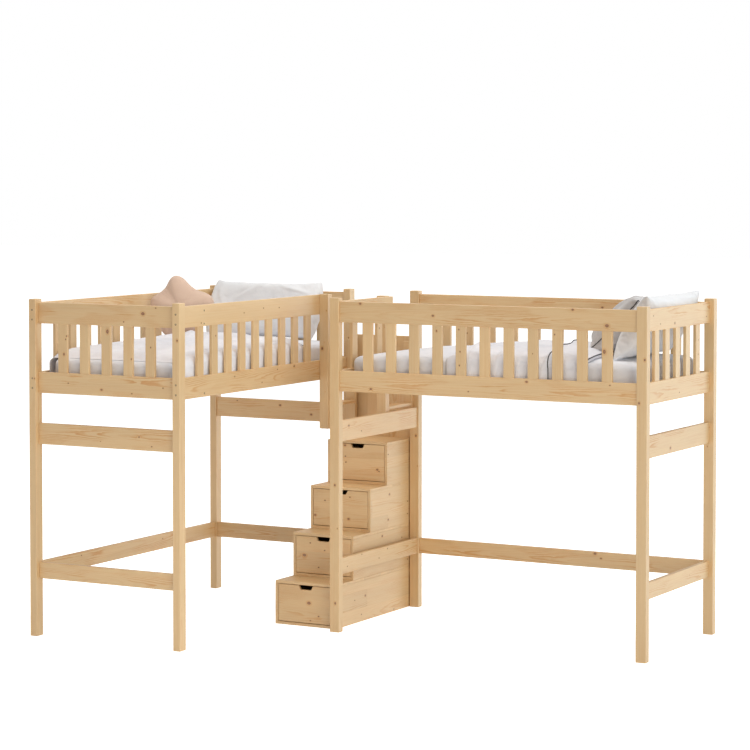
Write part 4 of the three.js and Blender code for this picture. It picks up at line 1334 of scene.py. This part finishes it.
def turned(places, lean, turn):
    """Places turned up about X by lean, then about Z by turn, both in degrees."""
    a, b = math.radians(lean), math.radians(turn)
    up = np.array([[1, 0, 0], [0, math.cos(a), -math.sin(a)], [0, math.sin(a), math.cos(a)]])
    about = np.array([[math.cos(b), -math.sin(b), 0], [math.sin(b), math.cos(b), 0], [0, 0, 1]])
    return places @ (about @ up).T


def stood(places, node_name, lean, turn, shift):
    """Turned places, with the middle of their box shifted from the middle of a node's box."""
    places = turned(places, lean, turn)
    low, high = corners(node_name)
    middle = (places.min(0) + places.max(0)) / 2
    return places + (low + high) / 2 - middle + np.array(shift)


def blown(places, faces, slack):
    """Places of a sewn body after its two skins are filled from inside as cloth.

    The cloth starts nearly flat. The pressure pushes it out until it pulls itself in at the
    sides, which makes the puckers along the seam. Slack makes the cloth larger than its seam.
    """
    pressure = 4.0
    frames = 15
    stiffness = 15.0
    mesh = bpy.data.meshes.new("filling")
    mesh.from_pydata(places.tolist(), [], faces)
    body = bpy.data.objects.new("filling", mesh)
    bpy.context.scene.collection.objects.link(body)
    cloth = body.modifiers.new("cloth", "CLOTH")
    settings = cloth.settings
    settings.quality = 5
    settings.mass = 0.3
    settings.tension_stiffness = stiffness
    settings.compression_stiffness = stiffness
    settings.bending_stiffness = 0.5
    settings.use_pressure = True
    settings.uniform_pressure_force = pressure
    settings.shrink_min = -slack
    settings.effector_weights.gravity = 0.0
    cloth.point_cache.frame_start = 1
    cloth.point_cache.frame_end = frames
    scene = bpy.context.scene
    for frame_number in range(1, frames + 1):
        scene.frame_set(frame_number)
    filled = body.evaluated_get(bpy.context.evaluated_depsgraph_get()).data
    result = np.empty(len(filled.vertices) * 3)
    filled.vertices.foreach_get("co", result)
    bpy.data.objects.remove(body)
    bpy.data.meshes.remove(mesh)
    scene.frame_set(1)
    return result.reshape(-1, 3)


def fitted(places, size):
    """Places stretched along each axis so that their box has the given size about 0."""
    low, high = places.min(0), places.max(0)
    return (places - (low + high) / 2) * (np.array(size) / (high - low))


def add_seam_piping(node_name, places, grid):
    """Piping along the rim of a pillow's grid of points, outwards from the pillow's middle."""
    rim = np.concatenate([grid[:, 0], grid[-1, 1:], grid[-2::-1, -1], grid[0, -2::-1]])
    out = places[rim] - places.mean(0)
    out /= np.linalg.norm(out, axis=1, keepdims=True)
    add_piping(node_name + ".piping", places[rim], out)


def add_pillow(node_name, size, lean, turn, finish, seed, shift, rows, slack=0.0,
               crumple=0.002, slump=0.0, spread=0.0, piped=False):
    """Pillow: two rectangles of cloth sewn together and filled.

    The start is a thin lens on a grid. After the filling, gentle unevenness and creases are
    laid over each skin along its own way out. Slump lets the far end sink along the lean, and
    spread makes it wider at half its height, by one less the square of the share up. A piped
    pillow has a cord along its seam.
    """
    columns, lines = 100, 52
    lens_rise, lens_power = 0.020, 0.45
    settled = 0.94
    skin_shift = 0.7
    crumple_waves = (0.35, 0.05)
    seam_share = 0.08
    length, height, thickness = size
    start_rise = lens_rise
    u, v = np.meshgrid(np.linspace(-1.0, 1.0, columns), np.linspace(-1.0, 1.0, lines), indexing="ij")
    x = length / 2 * u
    y = height / 2 * v
    rise = start_rise * np.maximum(0.0, (1 - u * u) * (1 - v * v)) ** lens_power
    cloth = np.stack([x, y, np.zeros_like(x)], -1)
    places, faces, marks = two_skins(np.stack([x, y, rise], -1), np.stack([x, y, -rise], -1), cloth)
    places = blown(places, faces, slack)
    places = fitted(places, (length, height, thickness * settled))
    side = np.sign(places[:, 2])
    seam = 1 - np.maximum(np.abs(marks[:, 0]) * 2 / length, np.abs(marks[:, 1]) * 2 / height)
    uneven = swell(marks[:, 0], marks[:, 1] + skin_shift * side, seed, *crumple_waves)
    uneven = crumple * uneven + folds(marks[:, 0] * side, marks[:, 1], rows)
    places[:, 2] += side * uneven * smooth_step(seam / seam_share)
    places[:, 1] -= slump * smooth_step(0.5 - places[:, 0] / length) * (0.5 + places[:, 1] / height)
    places[:, 0] *= 1 + spread * (1 - (2 * marks[:, 1] / height) ** 2)
    places = stood(places, node_name, lean, turn, shift)
    if piped:
        add_seam_piping(node_name, places, np.arange(u.size).reshape(u.shape))
    mesh = soft_mesh(node_name, places, faces, marks)
    piece = add_piece(node_name + ".case", mesh, finish, "bed_frame", [node_name])
    smooth = piece.modifiers.new("smooth", "SUBSURF")
    smooth.levels = 1
    smooth.render_levels = 1


# Creases of the pillows, as rows of folds: from, to, height and width.
left_pillow_creases = [
    (0.00, 0.18, -0.15, 0.07, 0.009, 0.016), (0.14, 0.14, 0.28, 0.10, 0.010, 0.014),
    (0.38, 0.15, 0.40, 0.06, 0.008, 0.016), (0.10, 0.02, 0.20, -0.14, 0.010, 0.014),
    (0.18, 0.04, 0.27, -0.12, 0.010, 0.014), (0.27, 0.00, 0.34, -0.14, 0.009, 0.014),
    (-0.30, 0.12, -0.24, 0.00, 0.005, 0.022),
]
back_pillow_creases = [
    (-0.26, 0.14, -0.18, 0.03, 0.004, 0.020), (-0.06, 0.20, -0.12, 0.06, 0.004, 0.018),
    (0.20, 0.18, 0.12, 0.02, 0.005, 0.020), (0.34, 0.08, 0.20, 0.05, 0.004, 0.022),
]
grey_pillow_creases = [
    (-0.33, -0.19, -0.26, 0.21, 0.028, 0.026), (-0.26, -0.12, -0.06, 0.20, 0.026, 0.028),
    (-0.17, -0.22, -0.13, 0.10, 0.026, 0.022), (-0.33, 0.02, -0.15, -0.20, 0.024, 0.020),
    (-0.31, 0.14, -0.21, 0.02, 0.022, 0.018), (0.08, -0.20, 0.16, 0.20, 0.022, 0.030),
    (0.20, -0.10, 0.30, 0.18, 0.026, 0.026), (0.02, 0.20, 0.10, -0.05, 0.020, 0.024),
    (0.28, -0.18, 0.33, 0.05, 0.024, 0.022), (0.14, 0.02, 0.26, -0.16, 0.020, 0.020),
]
add_pillow("left_pillow", (0.808, 0.415, 0.140), lean=68, turn=0, finish="pillow_cotton", seed=31,
           shift=(-0.008, 0.0, 0.020), rows=left_pillow_creases, crumple=0.003, spread=0.15)
add_pillow("right_pillow_back", (0.820, 0.440, 0.145), lean=61, turn=-90, finish="pillow_cotton",
           seed=32, shift=(-0.030, 0.0, 0.028), rows=back_pillow_creases)
add_pillow("right_pillow_front", (0.700, 0.430, 0.170), lean=44, turn=-90, finish="pillow_grey",
           seed=33, shift=(0.030, -0.050, -0.012), rows=grey_pillow_creases, slack=0.06,
           crumple=0.005, slump=0.070, piped=True)

star_radius = 0.217
star_valley = 0.163
star_thickness = 0.140
star_arm_power = 1.3
star_plump_power = 2.6
star_turns = np.array([0.036, 0.272, 0.458, 0.681, 0.833])
star_reaches = np.array([1.05, 1.0, 0.89, 0.9, 0.88])


def star_rim(share):
    """Distance of the star's seam from its middle, at a share of the way round.

    Between two arms it falls from the nearer arm's tip to the valley as a power of half of
    one more than the cosine of the way between them.
    """
    after = np.searchsorted(star_turns, share) % len(star_turns)
    before = (after - 1) % len(star_turns)
    gap = (star_turns[after] - star_turns[before]) % 1.0
    way = ((share - star_turns[before]) % 1.0) / gap
    arm = ((1 + np.cos(2 * math.pi * way)) / 2) ** star_arm_power
    reach = star_radius * np.where(way < 0.5, star_reaches[before], star_reaches[after])
    return star_valley + (reach - star_valley) * arm


def add_star():
    """Star cushion: two skins of rings round a middle, with blunt arms and a seam at the rim.

    The thickness is a root of one less a power of the share of the way out. Puckers fade from
    the seam inwards.
    """
    around, rows = 200, 34
    innermost = 0.02
    puckers, pucker_stray, stray_turns = 38, 2, 5
    pucker_depth, pucker_reach = 0.0012, 0.2
    uneven_depth, uneven_seed = 0.0016, 8
    seam_share = 0.05
    angle = np.arange(around) * 2 * math.pi / around
    rim = star_rim(np.arange(around) / around)
    share = np.sin(math.pi / 2 * np.linspace(innermost, 1.0, rows))[:, None]
    reach = rim * share
    thinner = share * rim / star_radius + 1 - share
    pucker = pucker_depth * np.sin(angle * puckers + pucker_stray * np.sin(angle * stray_turns))
    pucker = pucker * np.exp(-((1 - share) / pucker_reach) ** 2)
    x, y = reach * np.cos(angle), reach * np.sin(angle)
    held = smooth_step((1 - share) / seam_share)
    thick = star_thickness / 2 * thinner * np.sqrt(np.maximum(0.0, 1 - share ** star_plump_power))
    thick = thick + (pucker + uneven_depth * swell(x, y, uneven_seed)) * held
    upper = np.stack([x, y, thick], -1)
    lower = np.stack([x, y, -thick], -1)[:-1]
    marks = np.concatenate([upper.reshape(-1, 3), lower.reshape(-1, 3)])
    seam = (rows - 1) * around + np.arange(around)
    under = np.concatenate([rows * around + np.arange((rows - 1) * around), seam])
    top = grid_faces(rows, around, wrap=True)
    faces = top.tolist() + under[top][:, ::-1].tolist()
    faces.append(list(range(around))[::-1])
    faces.append((rows * around + np.arange(around)).tolist())
    places = stood(marks, "star_cushion", 80, 29, (0.010, 0.0, 0.030))
    mesh = soft_mesh("star cushion", places, faces, marks)
    piece = add_piece("star_cushion.cover", mesh, "star_fabric", "bed_frame", ["star_cushion"])


add_star()


# Floor, light and background

def seen_directly(tree):
    """1 for rays of the camera and those sent on by gloss or glass, and 0 for all others."""
    ray = node(tree, "ShaderNodeLightPath").outputs
    seen = maths(tree, "MAXIMUM", ray["Is Camera Ray"], ray["Is Glossy Ray"])
    return maths(tree, "MAXIMUM", seen, ray["Is Transmission Ray"])


def add_floor():
    """White floor that keeps the object's shadow, white to its far edge for the camera."""
    size = 60.0
    lift = 0.93
    mesh = bpy.data.meshes.new("floor")
    places = [(-size, -size, 0.0), (size, -size, 0.0), (size, size, 0.0), (-size, size, 0.0)]
    mesh.from_pydata(places, [], [(0, 1, 2, 3)])
    floor = bpy.data.objects.new("floor", mesh)
    bpy.context.scene.collection.objects.link(floor)
    material, tree, shader = new_material("floor white")
    shader.inputs["Base Color"].default_value = (0.90, 0.89, 0.88, 1.0)
    shader.inputs["Roughness"].default_value = 0.9
    shader.inputs["Specular IOR Level"].default_value = 0.1
    shader.inputs["Emission Color"].default_value = white
    strength = maths(tree, "MULTIPLY", seen_directly(tree), lift)
    tree.links.new(strength, shader.inputs["Emission Strength"])
    mesh.materials.append(material)


def add_lamp(name, place, target, size, power, color, height=None):
    """Soft lamp turned to a target: a square, or a strip with its own height."""
    data = bpy.data.lights.new(name, "AREA")
    data.shape = "RECTANGLE"
    data.size = size
    data.size_y = height or size
    data.energy = power
    data.color = color
    lamp = bpy.data.objects.new(name, data)
    lamp.location = place
    lamp.rotation_euler = (Vector(target) - Vector(place)).to_track_quat("-Z", "Y").to_euler()
    lamp.visible_camera = False
    bpy.context.scene.collection.objects.link(lamp)


def light_scene():
    """Even studio light: a cool key lamp from the right, a warm one in front, one behind to
    the right whose reflection pales the lacquered ends, a low strip, one overhead and a sky."""
    sky_light = (1.0, 0.97, 0.94, 1.0)
    sky_strength = 0.31
    add_lamp("key", (27.0, -5.6, 5.3), (0.0, 0.0, 0.9), 13.5, 1270.0, (0.60, 0.82, 1.0))
    add_lamp("front", (21.0, -16.5, 5.1), (0.0, 0.0, 0.7), 13.5, 2410.0, (1.0, 0.945, 0.84))
    add_lamp("glare", (16.5, 28.5, 3.5), (0.0, 0.0, 1.0), 18.0, 3250.0, (0.88, 0.96, 1.0))
    add_lamp("low", (-0.3, -3.6, 0.32), (-0.3, 0.0, 0.25), 4.5, 9.0, (1.0, 0.96, 0.88), 0.5)
    add_lamp("overhead", (0.0, 0.5, 10.0), (0.0, 0.2, 0.0), 7.0, 530.0, (1.0, 0.99, 0.97))
    world = bpy.data.worlds.new("studio")
    bpy.context.scene.world = world
    world.use_nodes = True
    tree = world.node_tree
    background = tree.nodes["Background"]
    seen = seen_directly(tree)
    tree.links.new(mixed(tree, seen, sky_light, white), background.inputs["Color"])
    tree.links.new(ramp(tree, seen, 0.0, 1.0, sky_strength, 1.0), background.inputs["Strength"])


add_floor()
light_scene()
bpy.context.scene.view_settings.view_transform = "Standard"
